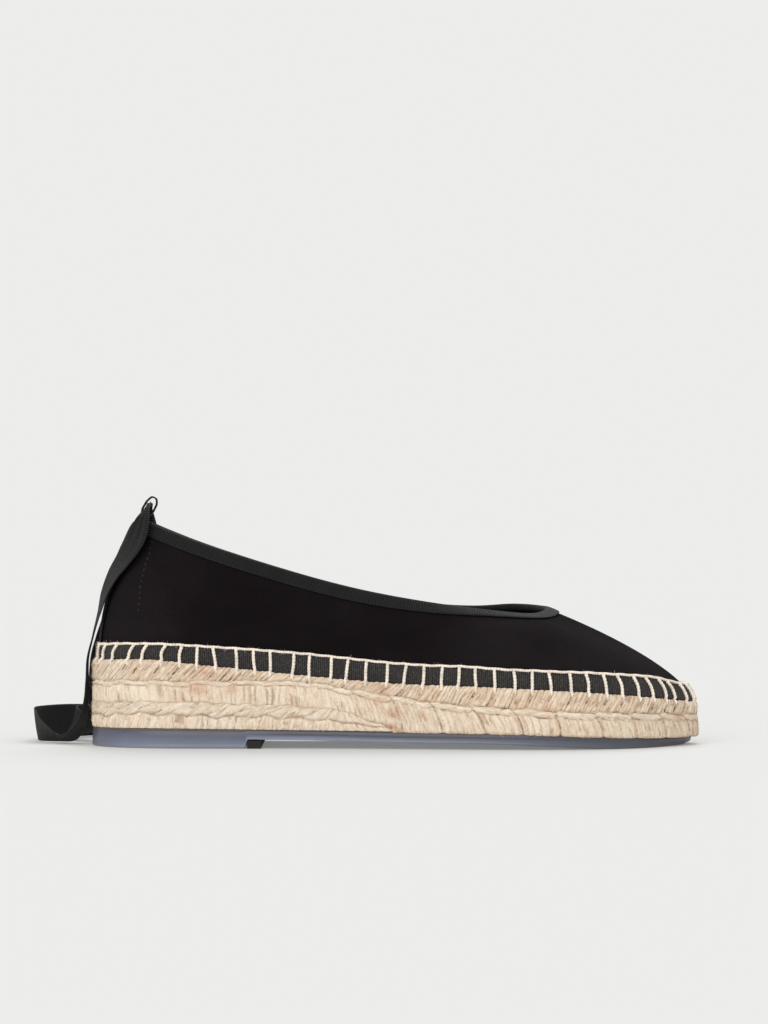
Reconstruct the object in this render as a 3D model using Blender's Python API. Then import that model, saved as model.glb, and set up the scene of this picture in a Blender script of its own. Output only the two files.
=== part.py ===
"""Right-foot ballet flat on a braided jute platform, with ankle ties: the solid pieces.

Sizes are in millimetres until a mesh is made. +X points to the toe, +Y to the inner (medial)
side and +Z up. The origin is on the floor under the middle of the shoe.
"""
import math

import bmesh
import bpy
import numpy as np
from mathutils import Vector

MM = 0.001
SOLE_LENGTH = 258.0
HALF_LENGTH = SOLE_LENGTH / 2
GAP = 0.3                    # air between pieces that touch in the real shoe
STATIONS = 72                # points round the outline, starting at the back of the heel
UPPER_WALL = 1.6             # suede and lining together
RIM_WALL = 0.9               # the same, skived thin where the binding folds over it
SKIVE_FROM = 7.0
SKIVE_LENGTH = 6.0
INSOLE_THICKNESS = 2.4
BAND_THICKNESS = 1.0
TAPE_THICKNESS = 0.8
BINDING_OUTSIDE = 6.6        # how far the binding reaches down outside the collar
BINDING_INSIDE = 6.0
BACK_STRIP_WIDTH = 13.0
BACK_STRIP_INSIDE = 9.0
HEEL_BREAST_X = -62.2        # front face of the heel lift
HEEL_BAR_LENGTH = 5.7
WEDGE_STATIONS = 18          # the jute wedge ends a quarter of the way round, under the waist
TIE_WIDTH = 14.0
TIE_THICKNESS = 0.8
TIE_GATHERED_WIDTH = 4.2     # the ribbon is bunched up where it goes through the loop
TIE_GATHERED_THICKNESS = 1.8
TIE_SPREAD_FROM = 3.0
TIE_SPREAD_LENGTH = 20.0
TIE_END_SLANT = 5.0
TIE_POINTS = 38
FLOOR_CLEARANCE = 0.4
LOOP_WIDTH = 4.0
LOOP_THICKNESS = 0.9

# Plan of the sole, a row for each place along the shoe: outer and inner edge.
SOLE_PLAN = (
    # x, outer_y, inner_y
    (-129.0, 0.0, 0.0),
    (-122.0, -19.6, 19.2),
    (-102.0, -31.0, 30.0),
    (-62.0, -33.6, 30.8),
    (-20.0, -36.2, 31.4),
    (20.0, -41.4, 37.0),
    (55.0, -44.3, 44.1),
    (85.0, -39.2, 42.6),
    (106.0, -28.2, 35.6),
    (121.0, -12.0, 23.8),
    (129.0, 6.0, 6.0),
)

# Heights along the sole, from the heel to the toe.
SOLE_HEIGHTS = (
    # x, jute_top, braid_chain, wedge_top, rubber_top, underside
    (-129.0, 36.2, 27.0, 18.6, 7.9, 0.0),
    (-102.0, 36.6, 27.6, 18.8, 8.2, 0.0),
    (-80.0, 34.3, 27.8, 18.6, 8.0, 0.0),
    (-62.2, 32.6, 27.8, 18.0, 7.8, 0.0),
    (-34.0, 29.7, 26.4, 16.9, 7.5, 3.7),
    (-22.0, 28.6, 24.9, 15.6, 7.4, 3.6),
    (-11.0, 27.7, 22.8, 11.8, 7.3, 3.5),
    (0.0, 26.9, 20.8, 8.4, 7.2, 3.4),
    (32.0, 25.8, 16.6, 6.9, 6.9, 2.8),
    (64.0, 24.2, 15.0, 6.5, 6.5, 1.3),
    (90.0, 22.5, 14.0, 5.4, 5.4, 0.0),
    (112.0, 20.2, 13.0, 4.6, 4.6, 0.0),
    (129.0, 17.9, 11.8, 4.2, 4.2, 0.0),
)

# Ribs of the last, a row for each: where the rib leaves the feather line, the bound rim
# that it reaches on the outer and the inner side, how steeply it rises at the foot and at
# the rim (degrees), how far it holds those directions (share of the chord), and how much
# of its last stretch runs square to the collar.
LAST_RIBS = (
    # base_x, feather, rim_x, outer_y, outer_z, inner_y, inner_z,
    #   outer_foot, inner_foot, rim_rise, foot_pull, rim_pull, square
    (-129.0, 4.0, -107.3, 0.0, 95.8, 0.0, 95.8, 90.5, 90.5, 60.0, 0.32, 0.42, 1.0),
    (-122.0, 4.1, -104.3, -7.0, 94.9, 7.0, 94.9, 92.0, 92.0, 63.0, 0.32, 0.41, 1.0),
    (-106.0, 4.2, -97.0, -13.2, 91.8, 13.2, 91.6, 94.0, 94.0, 70.0, 0.33, 0.38, 1.0),
    (-80.0, 4.2, -79.5, -19.8, 85.3, 19.0, 84.7, 96.0, 97.0, 76.0, 0.34, 0.36, 1.0),
    (-48.0, 4.2, -50.0, -25.2, 76.0, 23.2, 75.1, 95.0, 98.0, 76.0, 0.34, 0.36, 1.0),
    (-10.0, 4.2, -17.0, -28.6, 67.1, 26.2, 65.9, 93.0, 97.0, 68.0, 0.35, 0.36, 1.0),
    (28.0, 4.2, 14.0, -29.8, 61.1, 28.8, 59.6, 92.0, 93.0, 44.0, 0.36, 0.36, 0.9),
    (60.0, 4.1, 34.5, -27.8, 58.0, 29.0, 58.0, 91.0, 91.0, 27.0, 0.36, 0.36, 0.75),
    (86.0, 3.8, 48.0, -23.4, 56.2, 25.8, 58.8, 88.0, 88.0, 20.0, 0.34, 0.37, 0.6),
    (106.0, 3.3, 56.5, -16.8, 55.6, 19.9, 58.6, 86.0, 86.0, 18.0, 0.29, 0.36, 0.5),
    (120.0, 2.8, 61.2, -9.4, 56.4, 13.4, 58.2, 83.0, 83.0, 19.0, 0.22, 0.34, 0.6),
    (127.0, 2.5, 63.1, -3.6, 57.4, 7.6, 58.1, 79.0, 79.0, 20.0, 0.18, 0.34, 0.8),
    (129.0, 2.3, 63.5, 2.0, 57.9, 2.0, 57.9, 79.0, 79.0, 20.5, 0.17, 0.34, 1.0),
)

# Height of the woven band, measured up the side of the upper.
BAND_HEIGHTS = (
    # x, height
    (-129.0, 6.2),
    (-102.0, 6.8),
    (-51.0, 9.0),
    (6.0, 8.6),
    (64.0, 8.2),
    (105.0, 8.8),
    (129.0, 8.9),
)

# Centre lines of the two ties, from the loop to the cut end. The bearing and tilt give the
# direction of the ribbon's width: its compass angle in plan and its rise, in degrees.
OUTER_TIE = (
    # x, y, z, bearing, tilt
    (-104.5, -0.4, 100.9, 0.0, 60.0),
    (-104.6, -4.2, 100.9, -4.0, 60.0),
    (-105.4, -8.6, 100.0, -46.0, 44.0),
    (-107.0, -11.6, 96.2, -48.0, 14.0),
    (-109.4, -12.4, 88.4, -50.0, 0.0),
    (-114.2, -10.4, 80.0, -58.0, 0.0),
    (-119.5, -7.6, 72.0, -68.0, 0.0),
    (-123.2, -5.2, 64.0, -76.0, 0.0),
    (-125.4, -3.6, 56.0, -82.0, 0.0),
    (-128.2, -2.4, 46.0, -86.0, 0.0),
    (-130.3, -1.4, 37.0, -88.0, 0.0),
    (-130.7, -0.4, 27.5, -90.0, 0.0),
    (-131.3, 0.8, 18.0, -94.0, 0.0),
    (-133.8, 2.8, 8.8, -102.0, 2.0),
    (-139.4, 6.6, 3.0, -114.0, 10.0),
    (-147.4, 13.0, 4.4, -135.0, 40.0),
    (-153.2, 22.6, 6.6, -160.0, 74.0),
    (-155.2, 34.2, 7.4, -178.0, 84.0),
    (-153.4, 46.0, 7.4, -198.0, 84.0),
    (-147.6, 57.8, 7.4, -214.0, 82.0),
    (-138.4, 69.2, 7.2, -223.0, 74.0),
    (-127.0, 79.8, 6.4, -232.0, 56.0),
    (-113.6, 88.0, 4.6, -242.0, 34.0),
    (-97.6, 93.0, 2.2, -254.0, 12.0),
    (-78.0, 95.6, 1.4, -264.0, 0.0),
    (-56.0, 96.8, 3.8, -268.0, 0.0),
    (-34.0, 99.4, 1.4, -262.0, 6.0),
    (-12.0, 104.2, 1.2, -258.0, 10.0),
    (9.0, 108.8, 3.6, -260.0, 4.0),
    (31.0, 111.4, 1.4, -266.0, 0.0),
    (55.0, 111.8, 1.2, -270.0, 0.0),
    (79.0, 110.6, 3.4, -272.0, 0.0),
    (101.0, 110.2, 1.0, -270.0, 0.0),
)
INNER_TIE = (
    # x, y, z, bearing, tilt
    (-104.5, 0.4, 100.9, 0.0, 60.0),
    (-104.6, 4.2, 100.9, 4.0, 60.0),
    (-105.4, 8.6, 100.0, 46.0, 44.0),
    (-106.4, 12.2, 96.2, 48.0, 14.0),
    (-107.2, 14.8, 88.0, 40.0, 0.0),
    (-109.8, 14.9, 79.5, 38.0, 0.0),
    (-113.6, 15.3, 72.0, 40.0, 0.0),
    (-117.7, 15.5, 63.5, 46.0, 0.0),
    (-120.3, 16.6, 54.5, 48.0, 0.0),
    (-123.2, 18.4, 46.0, 48.0, 0.0),
    (-125.6, 19.6, 37.0, 47.0, 0.0),
    (-126.4, 20.6, 27.5, 46.0, 0.0),
    (-127.4, 22.0, 18.0, 45.0, 0.0),
    (-129.8, 25.4, 8.8, 42.0, 2.0),
    (-134.6, 31.8, 2.6, 38.0, 14.0),
    (-139.4, 41.4, 4.4, 26.0, 46.0),
    (-140.2, 52.4, 7.0, 6.0, 80.0),
    (-135.4, 62.8, 7.4, -20.0, 84.0),
    (-126.0, 70.2, 7.2, -46.0, 78.0),
    (-112.0, 74.4, 4.8, -68.0, 42.0),
    (-93.0, 75.6, 2.0, -84.0, 12.0),
    (-71.0, 75.4, 2.6, -90.0, 8.0),
    (-51.0, 76.4, 5.0, -94.0, 40.0),
    (-31.6, 80.6, 7.2, -104.0, 80.0),
    (-13.0, 87.8, 7.4, -108.0, 84.0),
    (6.4, 93.0, 6.8, -98.0, 70.0),
    (29.0, 93.8, 3.4, -90.0, 26.0),
    (54.0, 92.0, 1.2, -88.0, 2.0),
    (80.0, 90.8, 3.8, -89.0, 0.0),
    (104.0, 91.2, 1.2, -92.0, 0.0),
    (124.0, 92.6, 1.0, -95.0, 0.0),
)

# Hole of the ribbon loop, in the plane of the heel seam, with the loop strap round it.
LOOP_HOLE = (
    # x, z
    (-107.6, 96.7),
    (-105.2, 96.8),
    (-103.1, 99.2),
    (-101.7, 102.1),
    (-101.7, 104.1),
    (-103.2, 104.9),
    (-105.2, 103.0),
    (-107.0, 99.9),
)


# ---------------------------------------------------------------- curves from the tables

def column(table, index):
    return np.array([row[index] for row in table], dtype=float)


def smooth(knots, values):
    """A smooth curve through the knots, read with a number or an array."""
    slopes = np.gradient(values, knots)

    def read(at):
        at = np.clip(at, knots[0], knots[-1])
        k = np.clip(np.searchsorted(knots, at, side="right") - 1, 0, len(knots) - 2)
        span = knots[k + 1] - knots[k]
        t = (at - knots[k]) / span
        start = values[k] * (1 + 2 * t) * (1 - t) ** 2 + slopes[k] * span * t * (1 - t) ** 2
        end = values[k + 1] * t * t * (3 - 2 * t) - slopes[k + 1] * span * t * t * (1 - t)
        return start + end
    return read


def station_angle(x):
    return np.arccos(np.clip(-x / HALF_LENGTH, -1.0, 1.0))


def round_the_shoe(base_x, outer, inner):
    """A curve read by the station angle: heel 0, outer side, toe pi, inner side."""
    angles = station_angle(base_x)
    knots = np.concatenate([angles, 2 * math.pi - angles[-2:0:-1]])
    values = np.concatenate([outer, inner[-2:0:-1]])
    knots = np.concatenate([knots[-3:] - 2 * math.pi, knots, knots[:4] + 2 * math.pi])
    values = np.concatenate([values[-3:], values, values[:4]])
    read = smooth(knots, values)
    return lambda angle: read(np.mod(angle, 2 * math.pi))


plan_y = round_the_shoe(column(SOLE_PLAN, 0), column(SOLE_PLAN, 1), column(SOLE_PLAN, 2))
height_x = column(SOLE_HEIGHTS, 0)
jute_top = smooth(height_x, column(SOLE_HEIGHTS, 1))
braid_chain = smooth(height_x, column(SOLE_HEIGHTS, 2))
rubber_top = smooth(height_x, column(SOLE_HEIGHTS, 4))
band_height = smooth(column(BAND_HEIGHTS, 0), column(BAND_HEIGHTS, 1))

rib_x = column(LAST_RIBS, 0)
rib_columns = [column(LAST_RIBS, index) for index in range(1, 13)]
(feather_c, rim_x_c, outer_y_c, outer_z_c, inner_y_c, inner_z_c,
 outer_foot_c, inner_foot_c, rim_rise_c, foot_pull_c, rim_pull_c, square_c) = rib_columns
feather = round_the_shoe(rib_x, feather_c, feather_c)
rim_x = round_the_shoe(rib_x, rim_x_c, rim_x_c)
rim_y = round_the_shoe(rib_x, outer_y_c, inner_y_c)
rim_z = round_the_shoe(rib_x, outer_z_c, inner_z_c)
foot_rise = round_the_shoe(rib_x, np.radians(outer_foot_c), np.radians(inner_foot_c))
rim_rise = round_the_shoe(rib_x, np.radians(rim_rise_c), np.radians(rim_rise_c))
foot_pull = round_the_shoe(rib_x, foot_pull_c, foot_pull_c)
rim_pull = round_the_shoe(rib_x, rim_pull_c, rim_pull_c)
squareness = round_the_shoe(rib_x, square_c, square_c)


def wedge_top(x):
    return np.interp(x, height_x, column(SOLE_HEIGHTS, 3))


def underside(x):
    """The rubber's lower face: the heel lift, then the raised waist down to the forefoot."""
    ahead = SOLE_HEIGHTS[4:]
    waist = smooth(column(ahead, 0), column(ahead, 5))
    raised = np.maximum(waist(np.maximum(x, ahead[0][0])), 0.0)
    return np.where(x <= HEEL_BREAST_X, 0.0, raised)


# ---------------------------------------------------------------- the sole and the last

def inward(curve_x, curve_y, angle):
    """Unit direction in plan that points into a closed outline."""
    step = 0.002
    dx = curve_x(angle + step) - curve_x(angle - step)
    dy = curve_y(angle + step) - curve_y(angle - step)
    length = np.hypot(dx, dy)
    return -dy / length, dx / length


def plan_x(angle):
    return -HALF_LENGTH * np.cos(angle)


def sole_edge(angle, inset):
    nx, ny = inward(plan_x, plan_y, angle)
    return plan_x(angle) + inset * nx, plan_y(angle) + inset * ny


def sole_ring(angles, inset, height):
    x, y = sole_edge(angles, inset)
    return np.stack([x, y, height(x) + 0.0 * x], axis=1)


def rib_handles(angle):
    """The four Bezier points of each rib, from the feather line to the bound rim."""
    base_x, base_y = sole_edge(angle, feather(angle))
    base = np.stack([base_x, base_y, jute_top(base_x) + GAP], axis=1)
    rim = np.stack([rim_x(angle), rim_y(angle), rim_z(angle)], axis=1)
    chord = rim - base
    reach = np.linalg.norm(chord, axis=1)[:, None]
    foot_nx, foot_ny = inward(plan_x, plan_y, angle)
    rim_nx, rim_ny = inward(rim_x, rim_y, angle)
    rise = foot_rise(angle)
    foot_way = np.stack([np.cos(rise) * foot_nx, np.cos(rise) * foot_ny, np.sin(rise)], axis=1)
    across = np.stack([rim_nx, rim_ny], axis=1)
    along = chord[:, :2] / np.linalg.norm(chord[:, :2], axis=1)[:, None]
    share = squareness(angle)[:, None]
    aim = share * across + (1 - share) * along
    aim = aim / np.linalg.norm(aim, axis=1)[:, None]
    rise = rim_rise(angle)[:, None]
    rim_way = np.concatenate([np.cos(rise) * aim, np.sin(rise)], axis=1)
    foot_handle = base + foot_pull(angle)[:, None] * reach * foot_way
    rim_handle = rim - rim_pull(angle)[:, None] * reach * rim_way
    return base, foot_handle, rim_handle, rim


def last_points(angle, distance, from_rim=False):
    """Points of the upper's outer face, a distance up each rib or down from its rim."""
    a, b, c, d = rib_handles(angle)
    t = np.linspace(0.0, 1.0, 97)[None, :, None]
    a, b, c, d = (p[:, None, :] for p in (a, b, c, d))
    ribs = a * (1 - t) ** 3 + 3 * b * t * (1 - t) ** 2 + 3 * c * t * t * (1 - t) + d * t ** 3
    steps = np.linalg.norm(np.diff(ribs, axis=1), axis=2)
    lengths = np.concatenate([np.zeros((len(ribs), 1)), np.cumsum(steps, axis=1)], axis=1)
    total = lengths[:, -1]
    distance = np.broadcast_to(distance, total.shape)
    wanted = total - distance if from_rim else distance
    points = [
        [np.interp(s, length, rib[:, axis]) for axis in range(3)]
        for s, length, rib in zip(wanted, lengths, ribs)
    ]
    return np.array(points), total


def rib_length(angle):
    return last_points(angle, 0.0)[1]


def skin(angle, distance, offset, from_rim=False):
    """The outer face again, moved out along its own normal."""
    turn = 0.01
    step = 0.4
    here, total = last_points(angle, distance, from_rim)
    ahead = last_points(angle + turn, distance, from_rim)[0]
    behind = last_points(angle - turn, distance, from_rim)[0]
    drop = total - distance if from_rim else np.broadcast_to(distance, total.shape)
    above = last_points(angle, np.minimum(drop + step, total))[0]
    below = last_points(angle, np.maximum(drop - step, 0.0))[0]
    normal = np.cross(ahead - behind, above - below)
    normal = normal / np.linalg.norm(normal, axis=1)[:, None]
    return here + np.broadcast_to(offset, total.shape)[:, None] * normal


def foot_ring(angle, offset):
    """The feather line moved level, so that a leaning wall keeps a flat foot."""
    base = rib_handles(angle)[0]
    nx, ny = inward(plan_x, plan_y, angle)
    level = offset / np.sin(foot_rise(angle))
    base[:, 0] -= level * nx
    base[:, 1] -= level * ny
    return base


def wall_at(drop):
    """Thickness of the upper at a distance down from the bound rim."""
    share = np.clip((drop - SKIVE_FROM) / SKIVE_LENGTH, 0.0, 1.0)
    return RIM_WALL + (UPPER_WALL - RIM_WALL) * share * share * (3 - 2 * share)


# ---------------------------------------------------------------- meshes

def finish(name, points, faces, colour, roughness):
    mesh = bpy.data.meshes.new(name)
    mesh.from_pydata([Vector(p) * MM for p in points], [], faces)
    bm = bmesh.new()
    bm.from_mesh(mesh)
    bmesh.ops.recalc_face_normals(bm, faces=bm.faces)
    bm.to_mesh(mesh)
    bm.free()
    mesh.shade_smooth()
    mesh.set_sharp_from_angle(angle=math.radians(40))
    material = bpy.data.materials.new(name)
    material.use_nodes = True
    shader = material.node_tree.nodes["Principled BSDF"]
    shader.inputs["Base Color"].default_value = (*colour, 1.0)
    shader.inputs["Roughness"].default_value = roughness
    mesh.materials.append(material)
    piece = bpy.data.objects.new(name, mesh)
    bpy.context.scene.collection.objects.link(piece)
    return piece


def side_faces(rings, closed_ring=True, closed_stack=False):
    """Quads between neighbouring rings of equal length."""
    count = len(rings[0])
    faces = []
    stack = len(rings) if closed_stack else len(rings) - 1
    for k in range(stack):
        low = k * count
        high = ((k + 1) % len(rings)) * count
        for i in range(count if closed_ring else count - 1):
            j = (i + 1) % count
            faces.append((low + i, low + j, high + j, high + i))
    return faces


def crossing_faces(first, count):
    """Quads across a ring that starts at the heel, from outer point to inner point."""
    faces = []
    for i in range(count // 2):
        corners = [i, i + 1, count - 1 - i, (count - i) % count]
        faces.append([first + c for c in dict.fromkeys(corners)])
    return [face for face in faces if len(face) > 2]


def slab(name, rings, colour, roughness):
    """A closed layer of the sole, from its lowest ring to its highest."""
    count = len(rings[0])
    faces = side_faces(rings)
    faces += crossing_faces(0, count)
    faces += crossing_faces((len(rings) - 1) * count, count)
    return finish(name, np.concatenate(rings), faces, colour, roughness)


def shell(name, rings, colour, roughness):
    """A wall that closes on itself: its rings run up one face and down the other."""
    faces = side_faces(rings, closed_stack=True)
    return finish(name, np.concatenate(rings), faces, colour, roughness)


def strip(name, sections, colour, roughness):
    """A strap: equal sections in a row, with both ends closed."""
    count = len(sections[0])
    last = (len(sections) - 1) * count
    faces = side_faces(sections)
    faces.append(list(range(count)))
    faces.append(list(range(last, last + count)))
    return finish(name, np.concatenate(sections), faces, colour, roughness)


def stations(count=STATIONS):
    return np.arange(count) * 2 * math.pi / count


# ---------------------------------------------------------------- the sole

def make_outsole():
    """Clear rubber, thick under the heel and thin ahead of the heel breast."""
    breast = station_angle(HEEL_BREAST_X)
    hair = 0.001
    extra = [breast, breast + hair, 2 * math.pi - breast, 2 * math.pi - breast - hair]
    angles = np.sort(np.concatenate([stations(), extra]))
    x = plan_x(angles)
    toe_share = np.clip((x - 100.0) / 26.0, 0.0, 1.0)
    inset = 0.3 + 2.3 * toe_share
    bevel = 0.5 + 2.0 * toe_share ** 2
    rings = [
        sole_ring(angles, inset + bevel, underside),
        sole_ring(angles, inset, underside),
        sole_ring(angles, inset, rubber_top),
    ]
    rings[0][:, 2] = underside(x)
    rings[1][:, 2] = underside(x) + bevel
    slab("outsole", rings, (0.16, 0.19, 0.25), 0.35)


def make_heel_bar():
    """Black rubber bar across the heel breast, under the thin part of the outsole."""
    rear = HEEL_BREAST_X + GAP
    front = rear + HEEL_BAR_LENGTH
    top = float(underside(np.array(front))) - GAP
    corners = []
    for x in (rear, front):
        outer_angle = station_angle(x)
        outer = sole_edge(np.array([outer_angle]), 0.3)[1][0]
        inner = sole_edge(np.array([2 * math.pi - outer_angle]), 0.3)[1][0]
        corners.append([(x, outer, 0.0), (x, inner, 0.0), (x, inner, top), (x, outer, top)])
    strip("heel_bar", [np.array(c) for c in corners], (0.02, 0.02, 0.02), 0.6)


def make_jute_wedge():
    """The braid that lifts the heel, thinning out under the waist."""
    around = stations()
    angles = np.concatenate([around[:WEDGE_STATIONS + 1], around[-WEDGE_STATIONS:]])
    profile = (
        # share of the height, inset
        (0.0, 1.4),
        (0.12, 0.7),
        (0.3, 0.4),
        (0.5, 0.9),
        (0.72, 0.5),
        (0.9, 0.8),
        (1.0, 1.6),
    )
    rings = []
    for share, inset in profile:
        low = rubber_top(plan_x(angles)) + GAP
        high = wedge_top(plan_x(angles))
        ring = sole_ring(angles, inset, rubber_top)
        ring[:, 2] = low + share * (high - low)
        rings.append(ring)
    slab("jute_wedge", rings, (0.60, 0.46, 0.30), 0.9)


def make_jute_midsole():
    """The main braided sole: a row of strands above and below a running chain."""
    angles = stations()
    x = plan_x(angles)
    floor = np.where(x <= 0.01, wedge_top(x), rubber_top(x)) + GAP
    top = jute_top(x)
    chain = braid_chain(x)
    bead = 1.3
    lower = chain - bead
    upper = chain + bead
    profile = (
        # height, inset
        (floor, 1.5),
        (floor + 0.15 * (lower - floor), 0.7),
        (floor + 0.5 * (lower - floor), 0.4),
        (floor + 0.85 * (lower - floor), 0.7),
        (lower, 1.3),
        (chain, 0.6),
        (upper, 1.3),
        (upper + 0.25 * (top - upper), 0.7),
        (upper + 0.65 * (top - upper), 0.5),
        (top - 0.5, 1.1),
        (top, 2.2),
    )
    rings = []
    for height, inset in profile:
        ring = sole_ring(angles, inset, jute_top)
        ring[:, 2] = height
        rings.append(ring)
    slab("jute_midsole", rings, (0.60, 0.46, 0.30), 0.9)


def make_insole():
    """Thin padded sock that lies on the jute, inside the upper."""
    angles = stations()
    foot = last_points(angles, 0.0)[0]
    over = last_points(angles, 1.4 * INSOLE_THICKNESS)[0]
    nx, ny = inward(plan_x, plan_y, angles)
    lean = (over[:, 0] - foot[:, 0]) * nx + (over[:, 1] - foot[:, 1]) * ny
    wall = UPPER_WALL / np.sin(foot_rise(angles))
    inset = feather(angles) + wall + 3 * GAP + np.maximum(lean, 0.0)
    rings = [
        sole_ring(angles, inset, lambda x: jute_top(x) + GAP),
        sole_ring(angles, inset, lambda x: jute_top(x) + GAP + INSOLE_THICKNESS),
    ]
    slab("insole", rings, (0.05, 0.045, 0.04), 0.8)


# ---------------------------------------------------------------- the upper

def make_upper():
    """One hollow wall round the last, open at the collar and underneath."""
    angles = stations()
    length = rib_length(angles)
    rim_drop = TAPE_THICKNESS + GAP
    shares = (0.0, 0.07, 0.16, 0.3, 0.44, 0.58, 0.71, 0.83)
    heights = [share * (length - rim_drop) for share in shares]
    heights.append(length - SKIVE_FROM)
    heights.append(length - 0.5 * SKIVE_FROM)
    heights.append(length - rim_drop)
    heights = [np.minimum(h, length - rim_drop) for h in heights]
    outside = [skin(angles, height, 0.0) for height in heights]
    inside = [skin(angles, height, -wall_at(length - height)) for height in heights]
    outside[0] = foot_ring(angles, 0.0)
    inside[0] = foot_ring(angles, -UPPER_WALL)
    shell("upper", outside + inside[::-1], (0.012, 0.011, 0.011), 0.9)


def make_foxing_band():
    """Ribbed tape round the foot of the upper, on the edge of the jute."""
    angles = stations()
    height = band_height(plan_x(angles))
    near = GAP
    far = GAP + BAND_THICKNESS
    rings = [
        foot_ring(angles, near),
        foot_ring(angles, far),
        skin(angles, 0.5 * height, far),
        skin(angles, height - 0.5, far),
        skin(angles, height, far - 0.5),
        skin(angles, height, near),
        skin(angles, 0.5 * height, near),
    ]
    shell("foxing_band", rings, (0.03, 0.035, 0.036), 0.8)


def over_the_rim(angle, outside, inside):
    """Section of a tape folded over the collar, at one station each."""
    far = GAP + TAPE_THICKNESS
    rim = RIM_WALL
    wall = wall_at(inside)
    corners = (
        # drop from the bound rim, offset
        (outside, far),
        (0.5 * outside, far),
        (1.2, far),
        (0.3, 0.5),
        (0.0, -0.5 * rim),
        (0.3, -rim - 0.5),
        (1.2, -rim - far),
        (0.5 * inside, -rim - far),
        (inside, -wall - far),
        (inside, -wall - GAP),
        (0.5 * inside, -rim - GAP),
        (TAPE_THICKNESS, -rim - GAP),
        (TAPE_THICKNESS, GAP),
        (0.5 * outside, GAP),
        (outside, GAP),
    )
    return np.stack([skin(angle, drop, offset, True) for drop, offset in corners], axis=1)


def angle_at_y(y, drop):
    """Station angle, near the heel seam, where the upper has a given sideways reach."""
    tries = np.linspace(-0.9, 0.9, 181)
    reach = last_points(tries, drop, True)[0][:, 1]
    return np.interp(-y, -reach, tries)


def make_topline_binding():
    """Grosgrain folded over the collar, from one side of the back strip to the other."""
    edge = BACK_STRIP_WIDTH / 2 + 0.4
    start = angle_at_y(-edge, 0.0)
    end = 2 * math.pi + angle_at_y(edge, 0.0)
    between = [a for a in stations() if start + 0.03 < a < end - 0.03]
    angles = np.array([start, *between, end])
    sections = over_the_rim(angles, BINDING_OUTSIDE, BINDING_INSIDE)
    strip("topline_binding", list(sections), (0.045, 0.043, 0.045), 0.85)


def make_back_strip():
    """Tape down the heel seam, over the collar and a little way down inside."""
    seam_length = float(rib_length(np.array([0.0]))[0])
    band_top = float(band_height(np.array(-HALF_LENGTH))) + GAP
    down = seam_length - band_top
    far = GAP + TAPE_THICKNESS
    rim = RIM_WALL
    wall = wall_at(BACK_STRIP_INSIDE)
    drops_out = [down - (down - 1.2) * k / 7 for k in range(8)]
    corners = [(drop, far) for drop in drops_out]
    corners += [(0.3, 0.5), (0.0, -0.5 * rim), (0.3, -rim - 0.5), (1.2, -rim - far)]
    corners += [(5.0, -rim - far), (BACK_STRIP_INSIDE, -wall - far)]
    corners += [(BACK_STRIP_INSIDE, -wall - GAP), (5.0, -rim - GAP)]
    corners += [(TAPE_THICKNESS, -rim - GAP), (TAPE_THICKNESS, GAP)]
    corners += [(drop, GAP) for drop in drops_out[-2::-1]]
    across = np.linspace(-BACK_STRIP_WIDTH / 2, BACK_STRIP_WIDTH / 2, 7)
    sections = []
    for y in across:
        section = []
        for drop, offset in corners:
            angle = np.array([angle_at_y(y, drop)])
            section.append(skin(angle, drop, offset, True)[0])
        sections.append(np.array(section))
    strip("back_strip", sections, (0.02, 0.019, 0.019), 0.85)


def make_ribbon_loop():
    """Narrow strap loop that stands on the back strip and holds the ties."""
    hole = np.array(LOOP_HOLE)
    ahead = np.roll(hole, -1, axis=0) - np.roll(hole, 1, axis=0)
    outward = np.stack([ahead[:, 1], -ahead[:, 0]], axis=1)
    outward = outward / np.linalg.norm(outward, axis=1)[:, None]
    rim = hole + LOOP_THICKNESS * outward
    half = LOOP_WIDTH / 2
    rings = []
    for outline, y in ((hole, -half), (rim, -half), (rim, half), (hole, half)):
        rings.append(np.stack([outline[:, 0], np.full(len(hole), y), outline[:, 1]], axis=1))
    shell("ribbon_loop", rings, (0.02, 0.019, 0.019), 0.85)


# ---------------------------------------------------------------- the ties

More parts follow.
